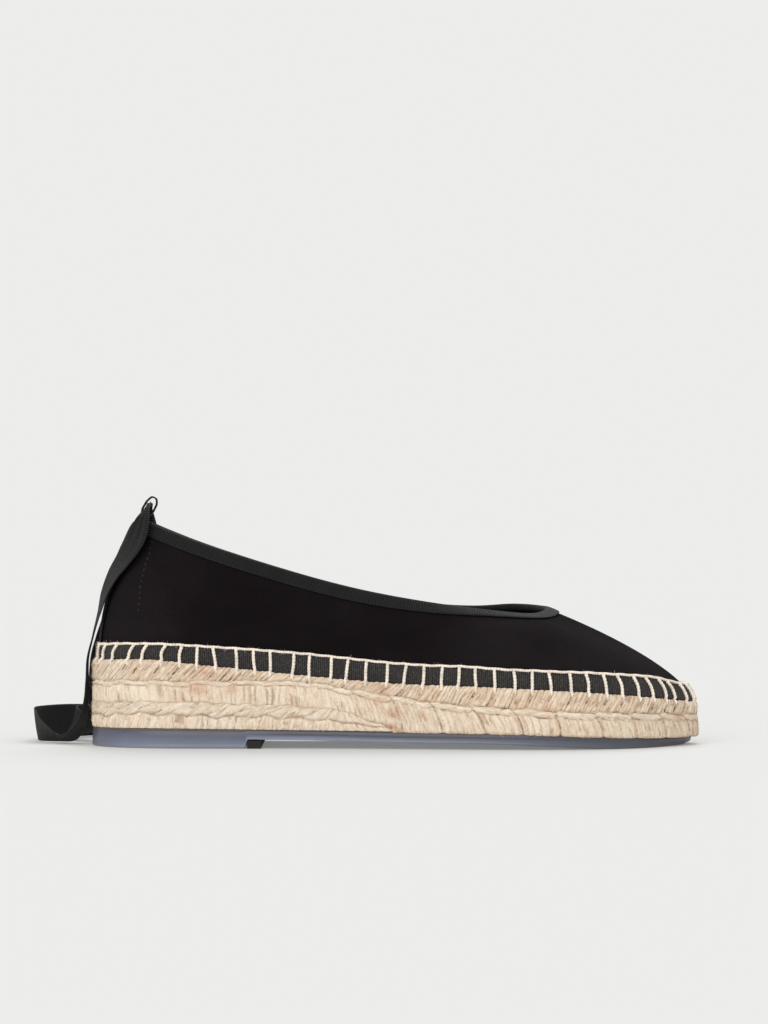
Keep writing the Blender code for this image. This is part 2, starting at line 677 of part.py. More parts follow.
def tie_sections(route):
    """Sections of a flat ribbon along its route, gathered at the loop, cut on a slant."""
    points = np.array([row[:3] for row in route])
    bearing = np.radians(column(route, 3))
    tilt = np.radians(column(route, 4))
    width_way = np.stack([
        np.cos(bearing) * np.cos(tilt),
        np.sin(bearing) * np.cos(tilt),
        np.sin(tilt),
    ], axis=1)
    steps = np.linalg.norm(np.diff(points, axis=0), axis=1)
    along = np.concatenate([[0.0], np.cumsum(steps)])
    fine = np.linspace(0.0, 1.0, TIE_POINTS)
    at = along[-1] * (0.35 * fine ** 2 + 0.65 * fine)
    centre = np.stack([smooth(along, points[:, k])(at) for k in range(3)], axis=1)
    way = np.stack([smooth(along, width_way[:, k])(at) for k in range(3)], axis=1)
    tangent = np.gradient(centre, at, axis=0)
    tangent = tangent / np.linalg.norm(tangent, axis=1)[:, None]
    way = way - np.sum(way * tangent, axis=1)[:, None] * tangent
    way = way / np.linalg.norm(way, axis=1)[:, None]
    face = np.cross(tangent, way)
    spread = np.clip((at - TIE_SPREAD_FROM) / TIE_SPREAD_LENGTH, 0.0, 1.0)
    spread = (spread * spread * (3 - 2 * spread))[:, None]
    half_width = (TIE_GATHERED_WIDTH + (TIE_WIDTH - TIE_GATHERED_WIDTH) * spread) / 2
    half_thick = TIE_GATHERED_THICKNESS + (TIE_THICKNESS - TIE_GATHERED_THICKNESS) * spread
    half_thick = half_thick / 2
    reach = half_width[:, 0] * np.abs(way[:, 2]) + half_thick[:, 0] * np.abs(face[:, 2])
    centre[:, 2] = np.maximum(centre[:, 2], reach + FLOOR_CLEARANCE)
    left = half_width * way
    up = half_thick * face
    sections = np.stack([centre - left - up, centre + left - up,
                         centre + left + up, centre - left + up], axis=1)
    sections[0][:, 1] = centre[0, 1]
    slant = TIE_END_SLANT * np.array([tangent[-1][0], tangent[-1][1], 0.0])
    sections[-1] += np.array([-slant, slant, slant, -slant])
    return sections


def make_ties():
    strip("outer_tie", list(tie_sections(OUTER_TIE)), (0.03, 0.028, 0.027), 0.8)
    strip("inner_tie", list(tie_sections(INNER_TIE)), (0.03, 0.028, 0.027), 0.8)


for old in list(bpy.data.objects):
    bpy.data.objects.remove(old, do_unlink=True)

make_outsole()
make_heel_bar()
make_jute_wedge()
make_jute_midsole()
make_insole()
make_upper()
make_foxing_band()
make_topline_binding()
make_back_strip()
make_ribbon_loop()
make_ties()
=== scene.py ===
"""Looks of a right-foot ballet flat: black suede on a stitched, braided jute platform.

Everything is in metres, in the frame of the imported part: +X to the toe, +Y to the inner side
of the foot, +Z up, and the floor at zero. MM turns a maker's millimetres into metres.
"""
import math

import bmesh
import bpy
import numpy as np
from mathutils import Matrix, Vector
from mathutils.bvhtree import BVHTree
from mathutils.kdtree import KDTree


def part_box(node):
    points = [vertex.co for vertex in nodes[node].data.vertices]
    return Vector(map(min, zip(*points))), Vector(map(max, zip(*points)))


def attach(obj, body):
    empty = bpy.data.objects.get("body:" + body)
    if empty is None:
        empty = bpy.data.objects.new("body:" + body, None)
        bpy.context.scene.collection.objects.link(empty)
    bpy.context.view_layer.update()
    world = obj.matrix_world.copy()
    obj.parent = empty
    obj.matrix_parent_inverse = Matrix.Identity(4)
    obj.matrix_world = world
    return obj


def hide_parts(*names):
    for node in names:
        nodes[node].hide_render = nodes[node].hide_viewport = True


MM = 0.001
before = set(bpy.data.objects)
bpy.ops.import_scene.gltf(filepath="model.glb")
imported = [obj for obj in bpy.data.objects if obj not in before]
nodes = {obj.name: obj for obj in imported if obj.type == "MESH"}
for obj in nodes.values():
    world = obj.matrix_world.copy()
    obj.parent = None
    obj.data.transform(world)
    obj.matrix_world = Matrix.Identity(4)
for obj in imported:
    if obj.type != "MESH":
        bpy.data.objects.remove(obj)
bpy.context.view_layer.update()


# ---------------------------------------------------------------- camera
# A long lens, level with the collar, that looks straight at the outer side of the shoe.
# The framing leaves the shoe low in an upright picture.

CAMERA_PLACE = (-4.8 * MM, -1.8, 98.7 * MM)
CAMERA_LENS = 149.0
SENSOR_WIDTH = 36.0
NEAREST_SEEN = 0.05
FARTHEST_SEEN = 60.0


def placed(name, data):
    """A new object in the scene."""
    made = bpy.data.objects.new(name, data)
    bpy.context.scene.collection.objects.link(made)
    return made


camera_data = bpy.data.cameras.new("camera")
camera_data.lens = CAMERA_LENS
camera_data.sensor_width = SENSOR_WIDTH
camera_data.clip_start = NEAREST_SEEN
camera_data.clip_end = FARTHEST_SEEN
camera = placed("camera", camera_data)
camera.location = CAMERA_PLACE
camera.rotation_euler = (math.radians(90), 0.0, 0.0)
bpy.context.scene.camera = camera
bpy.context.scene.view_settings.view_transform = "Standard"


# ---------------------------------------------------------------- ankle ties
# One long grosgrain ribbon with fine cross ribs and a firm edge, bunched up where it goes
# through the loop. It has come off the ankle: both halves hang down behind the heel and lie
# on the floor on the inner side, each to an end cut on a slant.

TIE_WIDTH = 14.0
TIE_THICKNESS = 0.5
TIE_GATHERED_WIDTH = 4.2
TIE_SPREAD_FROM = 3.0        # where it starts to widen, along from the loop
TIE_SPREAD_TO = 23.0
TIE_END_SLANT = 5.0          # how far one corner of the end is ahead of the middle
TIE_END_LENGTH = 9.0
TIE_CUP = 0.35               # how far its edges stand proud of its middle
TIE_SECTIONS = 460
TIE_ACROSS = 14
PLEATS = 3                   # folds across the gathered ribbon
PLEAT_DEPTH = 0.75
PLEATS_FROM = 2.0
PLEATS_TO = 33.0
FLOOR_CLEARANCE = 0.15       # under the middle of the ribbon
LOWEST_POINT = 0.05
RIB_PITCH = 0.85
RIB_WAVER = 0.35             # share of the pitch by which a rib may be off its place
YARN_PITCH = 0.42
RIBBON_COLOUR = (0.0108, 0.0095, 0.0094)
OUTER_TIE = (
    # x, y, z, bearing, tilt of the ribbon's width
    (-104.5, -0.4, 100.9, 0.0, 60.0),
    (-104.6, -4.2, 100.9, -4.0, 60.0),
    (-105.4, -8.6, 100.0, -46.0, 44.0),
    (-107.0, -11.6, 96.2, -48.0, 14.0),
    (-109.4, -12.4, 88.4, -50.0, 0.0),
    (-114.2, -10.4, 80.0, -58.0, 0.0),
    (-119.5, -7.6, 72.0, -68.0, 0.0),
    (-123.2, -5.2, 64.0, -76.0, 0.0),
    (-125.4, -3.6, 56.0, -82.0, 0.0),
    (-128.2, -2.4, 46.0, -86.0, 0.0),
    (-130.3, -1.4, 37.0, -88.0, 0.0),
    (-130.7, -0.4, 27.5, -90.0, 0.0),
    (-131.3, 0.8, 18.0, -94.0, 0.0),
    (-133.8, 2.8, 8.8, -102.0, 2.0),
    (-139.4, 6.6, 3.0, -114.0, 10.0),
    (-147.4, 13.0, 4.4, -135.0, 40.0),
    (-153.2, 22.6, 6.6, -160.0, 74.0),
    (-155.2, 34.2, 7.4, -178.0, 84.0),
    (-153.4, 46.0, 7.4, -198.0, 84.0),
    (-147.6, 57.8, 7.4, -214.0, 82.0),
    (-138.4, 69.2, 7.2, -223.0, 74.0),
    (-127.0, 79.8, 6.4, -232.0, 56.0),
    (-113.6, 88.0, 4.6, -242.0, 34.0),
    (-97.6, 93.0, 2.2, -254.0, 12.0),
    (-78.0, 95.6, 1.4, -264.0, 0.0),
    (-56.0, 96.8, 3.8, -268.0, 0.0),
    (-34.0, 99.4, 1.4, -262.0, 6.0),
    (-12.0, 104.2, 1.2, -258.0, 10.0),
    (9.0, 108.8, 3.6, -260.0, 4.0),
    (31.0, 111.4, 1.4, -266.0, 0.0),
    (55.0, 111.8, 1.2, -270.0, 0.0),
    (79.0, 110.6, 3.4, -272.0, 0.0),
    (101.0, 110.2, 1.0, -270.0, 0.0),
)
INNER_TIE = (
    # x, y, z, bearing, tilt of the ribbon's width
    (-104.5, 0.4, 100.9, 0.0, 60.0),
    (-104.6, 4.2, 100.9, 4.0, 60.0),
    (-105.4, 8.6, 100.0, 46.0, 44.0),
    (-106.4, 12.2, 96.2, 48.0, 14.0),
    (-107.2, 14.8, 88.0, 40.0, 0.0),
    (-109.8, 14.9, 79.5, 38.0, 0.0),
    (-113.6, 15.3, 72.0, 40.0, 0.0),
    (-117.7, 15.5, 63.5, 46.0, 0.0),
    (-120.3, 16.6, 54.5, 48.0, 0.0),
    (-123.2, 18.4, 46.0, 48.0, 0.0),
    (-125.6, 19.6, 37.0, 47.0, 0.0),
    (-126.4, 20.6, 27.5, 46.0, 0.0),
    (-127.4, 22.0, 18.0, 45.0, 0.0),
    (-129.8, 25.4, 8.8, 42.0, 2.0),
    (-134.6, 31.8, 2.6, 38.0, 14.0),
    (-139.4, 41.4, 4.4, 26.0, 46.0),
    (-140.2, 52.4, 7.0, 6.0, 80.0),
    (-135.4, 62.8, 7.4, -20.0, 84.0),
    (-126.0, 70.2, 7.2, -46.0, 78.0),
    (-112.0, 74.4, 4.8, -68.0, 42.0),
    (-93.0, 75.6, 2.0, -84.0, 12.0),
    (-71.0, 75.4, 2.6, -90.0, 8.0),
    (-51.0, 76.4, 5.0, -94.0, 40.0),
    (-31.6, 80.6, 7.2, -104.0, 80.0),
    (-13.0, 87.8, 7.4, -108.0, 84.0),
    (6.4, 93.0, 6.8, -98.0, 70.0),
    (29.0, 93.8, 3.4, -90.0, 26.0),
    (54.0, 92.0, 1.2, -88.0, 2.0),
    (80.0, 90.8, 3.8, -89.0, 0.0),
    (104.0, 91.2, 1.2, -92.0, 0.0),
    (124.0, 92.6, 1.0, -95.0, 0.0),
)


def smooth(knots, values):
    """A smooth curve through the knots, read with a number or an array."""
    slopes = np.gradient(values, knots)

    def read(at):
        at = np.clip(at, knots[0], knots[-1])
        k = np.clip(np.searchsorted(knots, at, side="right") - 1, 0, len(knots) - 2)
        span = knots[k + 1] - knots[k]
        t = (at - knots[k]) / span
        start = values[k] * (1 + 2 * t) * (1 - t) ** 2 + slopes[k] * span * t * (1 - t) ** 2
        end = values[k + 1] * t * t * (3 - 2 * t) - slopes[k + 1] * span * t * t * (1 - t)
        return start + end
    return read


def ease(low, high, at):
    """0 below low, 1 above high, and a soft step between."""
    share = np.clip((at - low) / (high - low), 0.0, 1.0)
    return share * share * (3 - 2 * share)


def unit(vectors):
    return vectors / np.linalg.norm(vectors, axis=-1, keepdims=True)


def add_node(tree, kind, inputs=None, **settings):
    """Adds one node to a tree; an input is given a value or another node's socket."""
    made = tree.nodes.new(kind)
    for name, value in settings.items():
        setattr(made, name, value)
    for name, value in (inputs or {}).items():
        socket = made.inputs[name]
        if isinstance(value, bpy.types.NodeSocket):
            tree.links.new(value, socket)
        else:
            socket.default_value = value
    return made


def maths(operation, *values):
    """A Math node in the tree of whichever of its values is another node's socket."""
    tree = next(value.id_data for value in values if isinstance(value, bpy.types.NodeSocket))
    return add_node(tree, "ShaderNodeMath", dict(enumerate(values)), operation=operation).outputs[0]


def times(value, factor):
    return maths("MULTIPLY", value, factor)


def summed(*terms, more=0.0):
    """Adds up sockets, each times its own weight, on top of a plain number."""
    total = more
    for value, weight in terms:
        total = maths("MULTIPLY_ADD", value, weight, total)
    return total


def ramp(value, low, high, top=1.0, way="LINEAR"):
    """0 where the value is low and top where it is high."""
    return add_node(value.id_data, "ShaderNodeMapRange", {
        "Value": value, "From Min": low, "From Max": high, "To Max": top},
        interpolation_type=way).outputs["Result"]


def axes(place):
    """The X, Y and Z of a vector."""
    return add_node(place.id_data, "ShaderNodeSeparateXYZ", {0: place}).outputs


def noise(place, scale, detail=2.0, roughness=0.5, distortion=0.0):
    """A cloudy value from 0 to 1 at each place."""
    return add_node(place.id_data, "ShaderNodeTexNoise", {
        "Vector": place, "Scale": scale, "Detail": detail, "Roughness": roughness,
        "Distortion": distortion}).outputs["Fac"]


def mixed(share, first, second):
    """Goes from a first colour to a second; the numbers are the colour sockets of the node."""
    return add_node(share.id_data, "ShaderNodeMix", {0: share, 6: first, 7: second},
                    data_type="RGBA").outputs[2]


def tone_of(share, stops):
    """Colour ramp over a share from 0 to 1, with stops of (place, colour)."""
    made = add_node(share.id_data, "ShaderNodeValToRGB", {"Fac": share})
    elements = made.color_ramp.elements
    while len(elements) < len(stops):
        elements.new(0.5)
    for element, (place, colour) in zip(elements, stops):
        element.position = place
        element.color = (*colour, 1.0)
    return made.outputs["Color"]


def shade(colour, factor):
    return tuple(channel * factor for channel in colour)


def new_material(name, roughness, **constants):
    """A Principled material and its shader; what is the same all over is set on its sockets."""
    material = bpy.data.materials.new(name)
    material.use_nodes = True
    shader = material.node_tree.nodes["Principled BSDF"]
    shader.inputs["Roughness"].default_value = roughness
    for key, value in constants.items():
        shader.inputs[key.replace("_", " ")].default_value = value
    return material, shader


def paint(shader, colour, height, distance, strength):
    """Gives a shader its colour, and a relief of a depth in metres."""
    tree = shader.id_data
    tree.links.new(colour, shader.inputs["Base Color"])
    bump = add_node(tree, "ShaderNodeBump", {
        "Height": height, "Distance": distance, "Strength": strength})
    tree.links.new(bump.outputs["Normal"], shader.inputs["Normal"])


def grosgrain(name, colour, pitch, edge_from, edge_to, dust=0.0):
    """Ribbed ribbon: ribs across it, and a firmer, lighter edge between two distances.

    Painted shade darkens it between the ribs and painted highlight lightens their tops.
    The UV map is in metres: U along the ribbon, V across it. Dust is a share of pale lint.
    """
    material, shader = new_material(name, 0.70, Sheen_Weight=0.04, Sheen_Roughness=0.5,
                                    Specular_IOR_Level=0.14)
    uv = add_node(shader.id_data, "ShaderNodeUVMap", uv_map="along").outputs["UV"]
    split = axes(uv)
    across = maths("ABSOLUTE", split["Y"])
    wobble = times(noise(uv, 900.0), RIB_WAVER * pitch * MM)
    angle = times(maths("ADD", split["X"], wobble), 2 * math.pi / (pitch * MM))
    rib = maths("MULTIPLY_ADD", maths("SINE", angle), 0.5, 0.5)
    yarn = maths("SINE", times(across, 2 * math.pi / (YARN_PITCH * MM)))
    edge = ramp(across, edge_from * MM, edge_to * MM)
    # painted shade between the ribs and painted highlight on them, over random tone and the lighter edge
    light = summed((rib, 0.60), (noise(uv, 160.0, 3.0), 0.32), (edge, 0.3))
    woven = tone_of(light, ((0.0, shade(colour, 0.35)), (0.45, colour), (1.0, shade(colour, 2.8))))
    lint = ramp(noise(uv, 1300.0, 4.0, 0.7), 0.50, 0.72, dust)
    paint(shader, mixed(lint, woven, (0.30, 0.26, 0.22, 1.0)),
          summed((rib, 1.0), (yarn, 0.12)), 0.24 * MM, 1.0)
    return material


def mesh_piece(name, points, faces, material):
    """A smooth closed mesh, with its faces turned outwards."""
    mesh = bpy.data.meshes.new(name)
    mesh.from_pydata(np.asarray(points).tolist(), [], faces)
    mesh.materials.append(material)
    mesh.shade_smooth()
    bm = bmesh.new()
    bm.from_mesh(mesh)
    bmesh.ops.recalc_face_normals(bm, faces=bm.faces)
    bm.to_mesh(mesh)
    bm.free()
    return placed(name, mesh)


def lay_uv(piece, along, across, total=math.inf):
    """UV map from each point's distance along the ribbon and across it.

    On a closed ribbon, a face that crosses the start goes on past the whole length.
    """
    mesh = piece.data
    corner = np.zeros(len(mesh.loops), dtype=np.int32)
    mesh.loops.foreach_get("vertex_index", corner)
    sides = np.zeros(len(mesh.polygons), dtype=np.int32)
    mesh.polygons.foreach_get("loop_total", sides)
    first = np.cumsum(sides) - sides
    u = along[corner]
    spread = np.maximum.reduceat(u, first) - np.minimum.reduceat(u, first)
    u = np.where(np.repeat(spread > total / 2, sides) & (u < total / 2), u + total, u)
    layer = mesh.uv_layers.new(name="along")
    layer.data.foreach_set("uv", np.column_stack([u, across[corner]]).ravel())


def grid_faces(rows, columns, close_rows=False):
    """Quads of a grid of points, row after row; each row closes on itself."""
    faces = []
    for r in range(rows if close_rows else rows - 1):
        low = r * columns
        high = ((r + 1) % rows) * columns
        for c in range(columns):
            d = (c + 1) % columns
            faces.append((low + c, low + d, high + d, high + c))
    return faces


def lay_tie(name, route, material):
    """Sweeps the flat ribbon along its route, with pleats where it is gathered."""
    route = np.array(route)
    bearing = np.radians(route[:, 3])
    tilt = np.radians(route[:, 4])
    width_way = np.stack([
        np.cos(bearing) * np.cos(tilt),
        np.sin(bearing) * np.cos(tilt),
        np.sin(tilt),
    ], axis=1)
    steps = np.linalg.norm(np.diff(route[:, :3], axis=0), axis=1)
    knots = np.concatenate([[0.0], np.cumsum(steps)])
    at = np.linspace(0.0, knots[-1], TIE_SECTIONS)
    centre = np.stack([smooth(knots, route[:, k])(at) for k in range(3)], axis=1)
    way = np.stack([smooth(knots, width_way[:, k])(at) for k in range(3)], axis=1)
    tangent = unit(np.gradient(centre, at, axis=0))
    way = unit(way - np.sum(way * tangent, axis=1)[:, None] * tangent)
    face = np.cross(tangent, way)
    spread = ease(TIE_SPREAD_FROM, TIE_SPREAD_TO, at)
    half = (TIE_GATHERED_WIDTH + (TIE_WIDTH - TIE_GATHERED_WIDTH) * spread) / 2
    lift = half * np.abs(way[:, 2]) + TIE_THICKNESS / 2 * np.abs(face[:, 2])
    centre[:, 2] = np.maximum(centre[:, 2], lift + FLOOR_CLEARANCE)
    pleat = PLEAT_DEPTH * (1 - ease(PLEATS_FROM, PLEATS_TO, at))
    share = np.linspace(-1.0, 1.0, TIE_ACROSS)
    fold = np.cos(share * PLEATS * math.pi)
    cup = TIE_CUP * (share ** 2 - 0.4)
    slant = TIE_END_SLANT * ease(at[-1] - TIE_END_LENGTH, at[-1], at)
    rings = []
    for side in (1.0, -1.0):
        order = range(TIE_ACROSS) if side > 0 else range(TIE_ACROSS - 1, -1, -1)
        for k in order:
            rise = pleat * fold[k] + cup[k] * spread + side * TIE_THICKNESS / 2
            rings.append(centre + (half * share[k])[:, None] * way + rise[:, None] * face
                         + (slant * share[k])[:, None] * tangent)
    points = np.stack(rings, axis=1)
    points[:, :, 2] = np.maximum(points[:, :, 2], LOWEST_POINT)
    around = 2 * TIE_ACROSS
    faces = grid_faces(TIE_SECTIONS, around)
    for first in (0, (TIE_SECTIONS - 1) * around):
        for k in range(TIE_ACROSS - 1):
            faces.append((first + k, first + k + 1, first + around - 2 - k, first + around - 1 - k))
    across = np.concatenate([share, share[::-1]]) * TIE_WIDTH / 2
    tie = mesh_piece(name, points.reshape(-1, 3) * MM, faces, material)
    lay_uv(tie, np.repeat(at, around) * MM, np.tile(across, TIE_SECTIONS) * MM)
    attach(tie, "root")
    return tie


ribbon = grosgrain("ankle_ribbon", RIBBON_COLOUR, RIB_PITCH, 6.2, 7.0)
outer_tie = lay_tie("ankle_tie_outer", OUTER_TIE, ribbon)
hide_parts("outer_tie")
inner_tie = lay_tie("ankle_tie_inner", INNER_TIE, ribbon)
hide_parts("inner_tie")


# ---------------------------------------------------------------- rubber outsole
# Clear blue-grey rubber, moulded in one: a heel lift, a thin waist and a forefoot. Its wall
# has a thin lip at the foot, painted pale there as light, and darkens up to a dark line under
# the jute as painted shade; the edge is turned in at the toe.

AROUND = 1400                # columns round the sole
SPINE_HALF = 85.0            # half the length of the middle line that the walk round looks from
PLAN_SOFTNESS = 2.2
END_MARGIN = 1.5             # kept clear of the ends of a layer when its heights are read
RUBBER_MARGIN = 2.0
PROBES = 240
RAY_START = 0.2              # in metres, well clear of the shoe
CLEAR_ABOVE = 0.3
CLEAR_BELOW = -0.1
TOE_BEND_FROM = 100.0        # ahead of here the middle line leans to the inner side
TOE_BEND = 0.2
RUBBER_SPREAD = 0.3          # how far the whole wall is moved out
TOE_TUCK = 2.4               # how far the lower corner is turned in at the toe
TOE_TURN = (100.0, 126.0)    # from where to where along the shoe the corner turns in
WAIST_BEGINS = (-45.0, 0.0)
WAIST_ENDS = (15.0, 60.0)
WAIST_SAG = 0.20             # share by which the edge hangs lower in the middle of the waist
HEEL_BREAST = 0.55           # how far behind the heel bar the heel stops standing on the floor
RUBBER_WALL = (
    # share of the wall's height, inset, in millimetres
    (0.0, 1.3),
    (0.02, 0.55),
    (0.07, 0.22),
    (0.14, 0.20),
    (0.18, 0.34),
    (0.24, 0.36),
    (0.60, 0.40),
    (0.86, 0.40),
    (0.90, 0.56),
    (0.94, 0.56),
    (0.97, 0.36),
    (1.0, 0.60),
)


def faces_of(piece):
    """A piece's faces, ready to be hit by rays."""
    mesh = piece.data
    return BVHTree.FromPolygons([v.co for v in mesh.vertices], [p.vertices for p in mesh.polygons])


def soften(values, sigma):
    """Blurs values that close on themselves; sigma is in columns."""
    reach = int(3 * sigma) + 1
    weights = np.exp(-0.5 * (np.arange(-reach, reach + 1) / sigma) ** 2)
    weights = weights / weights.sum()
    total = np.zeros_like(values)
    for shift, weight in zip(range(-reach, reach + 1), weights):
        total += weight * np.roll(values, shift, axis=0)
    return total


def spread_evenly(points, count):
    """Evenly spaced points along a closed line, their distances and the whole length."""
    closed = np.concatenate([points, points[:1]])
    along = np.concatenate([[0.0], np.cumsum(np.linalg.norm(np.diff(closed, axis=0), axis=1))])
    at = np.arange(count) * along[-1] / count
    line = np.stack([np.interp(at, along, values) for values in closed.T], axis=1)
    return line, at, along[-1]


def walk_round(node, height):
    """Even steps round a node's side: plan points, outward ways, distances and the whole way.

    The walk starts at the back of the heel and goes along the outer side first. The height
    that it keeps to is a function of the place along the shoe.
    """
    tree = faces_of(nodes[node])
    half = (cad_sole[1].x - cad_sole[0].x) / 2
    hits = []
    for turn in np.arange(AROUND) * 2 * math.pi / AROUND:
        way = Vector((math.cos(turn), math.sin(turn), 0.0))
        level = float(height(-half * math.cos(turn)))
        start = Vector((-SPINE_HALF * MM * math.cos(turn), 0.0, level)) - RAY_START * way
        hits.append(tree.ray_cast(start, way)[0][:2])
    plan, at, total = spread_evenly(np.array(hits), AROUND)
    plan = soften(plan, PLAN_SOFTNESS * MM * AROUND / total)
    ahead = np.roll(plan, -1, axis=0) - np.roll(plan, 1, axis=0)
    outward = unit(np.stack([ahead[:, 1], -ahead[:, 0]], axis=1))
    return plan, outward, at, total


def heights_along(node, from_above):
    """Height of a node's top or bottom face along the middle of the shoe."""
    tree = faces_of(nodes[node])
    low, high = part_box(node)
    places = np.linspace(low.x + END_MARGIN * MM, high.x - END_MARGIN * MM, PROBES)
    start = CLEAR_ABOVE if from_above else CLEAR_BELOW
    way = Vector((0.0, 0.0, -1.0 if from_above else 1.0))
    found = []
    for x in places:
        middle = max(0.0, (x - TOE_BEND_FROM * MM) * TOE_BEND)
        found.append(tree.ray_cast(Vector((x, middle, start)), way)[0].z)
    return lambda x: np.interp(x, places, np.array(found))


def ring_at(plan, outward, inset, height):
    """A ring of points at an inset from the walk, at given heights."""
    flat = plan - np.asarray(inset).reshape(-1, 1) * outward
    return np.column_stack([flat, np.broadcast_to(height, len(plan))])


def cap(first, count):
    """Faces across a ring of even count that starts at the heel."""
    faces = [(first, first + 1, first + count - 1)]
    for k in range(1, count // 2 - 1):
        faces.append((first + k, first + k + 1, first + count - k - 1, first + count - k))
    half = count // 2
    faces.append((first + half - 1, first + half, first + half + 1))
    return faces


def give_points(piece, name, values, kind="FLOAT"):
    """Puts a number or a vector on each point of a piece, under a name."""
    layer = piece.data.attributes.new(name, kind, "POINT")
    layer.data.foreach_set("vector" if kind == "FLOAT_VECTOR" else "value",
                           np.asarray(values, dtype=np.float32).ravel())


def layer_piece(name, rings, material):
    """A closed layer from its lowest ring to its highest."""
    count = len(rings[0])
    faces = grid_faces(len(rings), count)
    faces += cap(0, count)
    faces += cap((len(rings) - 1) * count, count)
    return mesh_piece(name, np.concatenate(rings), faces, material)


def carried(shader, name, output="Vector"):
    """What a piece's points carry under a name."""
    return add_node(shader.id_data, "ShaderNodeAttribute", attribute_name=name).outputs[output]


def here(shader):
    """The place on the piece, in its own frame."""
    return add_node(shader.id_data, "ShaderNodeTexCoord").outputs["Object"]


def stretched(place, scale, turn=(0.0, 0.0, 0.0)):
    """The same place with each axis scaled, so that what reads it is drawn out."""
    return add_node(place.id_data, "ShaderNodeMapping", {
        "Vector": place, "Rotation": turn, "Scale": scale}).outputs["Vector"]


def clear_rubber():
    """Blue-grey rubber, hazier towards the floor: painted light at its foot, painted shade under the jute,
    at the toe and at the heel.
    """
    material, shader = new_material(
        "clear_rubber", 0.34, Subsurface_Weight=0.25, Subsurface_Scale=2.5 * MM,
        Subsurface_Radius=(0.6, 0.8, 1.0), Specular_IOR_Level=0.35)
    place = here(shader)
    haze = noise(stretched(place, (18.0, 60.0, 260.0)), 1.0, 4.0)
    share = summed((carried(shader, "wall_share", "Fac"), 1.0), (haze, 0.16), more=-0.08)
    # painted light pales the foot of the wall, and painted shade darkens it up to the jute's edge
    colour = tone_of(share, (
        (0.0, (0.34, 0.355, 0.41)),
        (0.10, (0.205, 0.222, 0.285)),
        (0.45, (0.150, 0.167, 0.226)),
        (0.80, (0.108, 0.113, 0.152)),
        (0.93, (0.098, 0.086, 0.090)),
        (1.0, (0.150, 0.110, 0.085)),
    ))
    # painted shade: on the upper half of the wall ahead of the heel, deepening towards the toe, and round
    # the back of the heel
    x = axes(place)["X"]
    ahead_of_heel = ramp(x, -70 * MM, -45 * MM)
    upper_half_shade = ramp(share, 0.36, 0.52)
    toe = ramp(x, 5 * MM, 108 * MM)
    back = ramp(x, -114 * MM, -126 * MM, 0.45)
    dark = times(times(ahead_of_heel, upper_half_shade), 0.75)
    dark = maths("MAXIMUM", maths("MAXIMUM", dark, times(toe, 0.85)), back)
    paint(shader, mixed(dark, colour, (0.065, 0.062, 0.074, 1.0)),
          noise(place, 900.0, 3.0), 0.08 * MM, 0.35)
    return material


cad_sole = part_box("jute_midsole")
rubber_low, rubber_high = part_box("outsole")
rubber_top = heights_along("outsole", True)
rubber_under = heights_along("outsole", False)
rubber_plan, rubber_out = walk_round(
    "outsole", lambda x: (0.6 * rubber_top(x) + 0.4 * rubber_under(x)))[:2]
rubber_x = rubber_plan[:, 0]
toe_turn = ease(TOE_TURN[0] * MM, TOE_TURN[1] * MM, rubber_x)
rubber_foot = rubber_under(np.clip(
    rubber_x, rubber_low.x + RUBBER_MARGIN * MM, rubber_high.x - RUBBER_MARGIN * MM))
waist = ease(*WAIST_BEGINS, rubber_x / MM) - ease(*WAIST_ENDS, rubber_x / MM)
rubber_foot = rubber_foot * (1 - WAIST_SAG * waist)
heel_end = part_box("heel_bar")[0].x - HEEL_BREAST * MM
rubber_foot = np.where(rubber_x <= heel_end, 0.0, np.maximum(rubber_foot, 0.0))
rubber_rings = []
rubber_share = []
for share, inset in RUBBER_WALL:
    tuck = toe_turn * TOE_TUCK * MM * max(0.0, 1 - 3.0 * share) ** 1.2
    level = rubber_foot + share * (rubber_top(rubber_x) - rubber_foot)
    rubber_rings.append(ring_at(rubber_plan, rubber_out, (inset - RUBBER_SPREAD) * MM + tuck, level))
    rubber_share.append(np.full(AROUND, share))
outsole = layer_piece("rubber_outsole", rubber_rings, clear_rubber())
give_points(outsole, "wall_share", np.concatenate(rubber_share))
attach(outsole, "root")
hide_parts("outsole")


# ---------------------------------------------------------------- heel bar
# A plain bar of black rubber glued across the heel breast, under the thin part of the sole.

def speckled(name, roughness, scale, stops, **constants):
    """Matte stuff, uneven in tone and height in the same small patches."""
    material, shader = new_material(name, roughness, **constants)
    patch = noise(here(shader), scale, 4.0)
    paint(shader, tone_of(patch, stops), patch, 0.1 * MM, 0.5)
    return material


heel_bar = nodes["heel_bar"]
heel_bar.data.materials.clear()
heel_bar.data.materials.append(speckled("black_rubber", 0.7, 1400.0, (
    (0.3, (0.010, 0.009, 0.009)), (0.7, (0.020, 0.018, 0.018))), Specular_IOR_Level=0.3))


# ---------------------------------------------------------------- braided jute sole
# Flat jute braid wound edge on, and stitched through: two rows of slanted strands with a
# running chain between them, over a lower braid that lifts the heel. Each strand is a
# bundle of dry fibres, and painted shade makes every groove between two of them dark and brown.

STITCH_COUNT = 75            # blanket stitches round the shoe: they pull the top row into lobes
STITCH_UNEVEN = 0.13         # share of a stitch's room by which it may be off its place
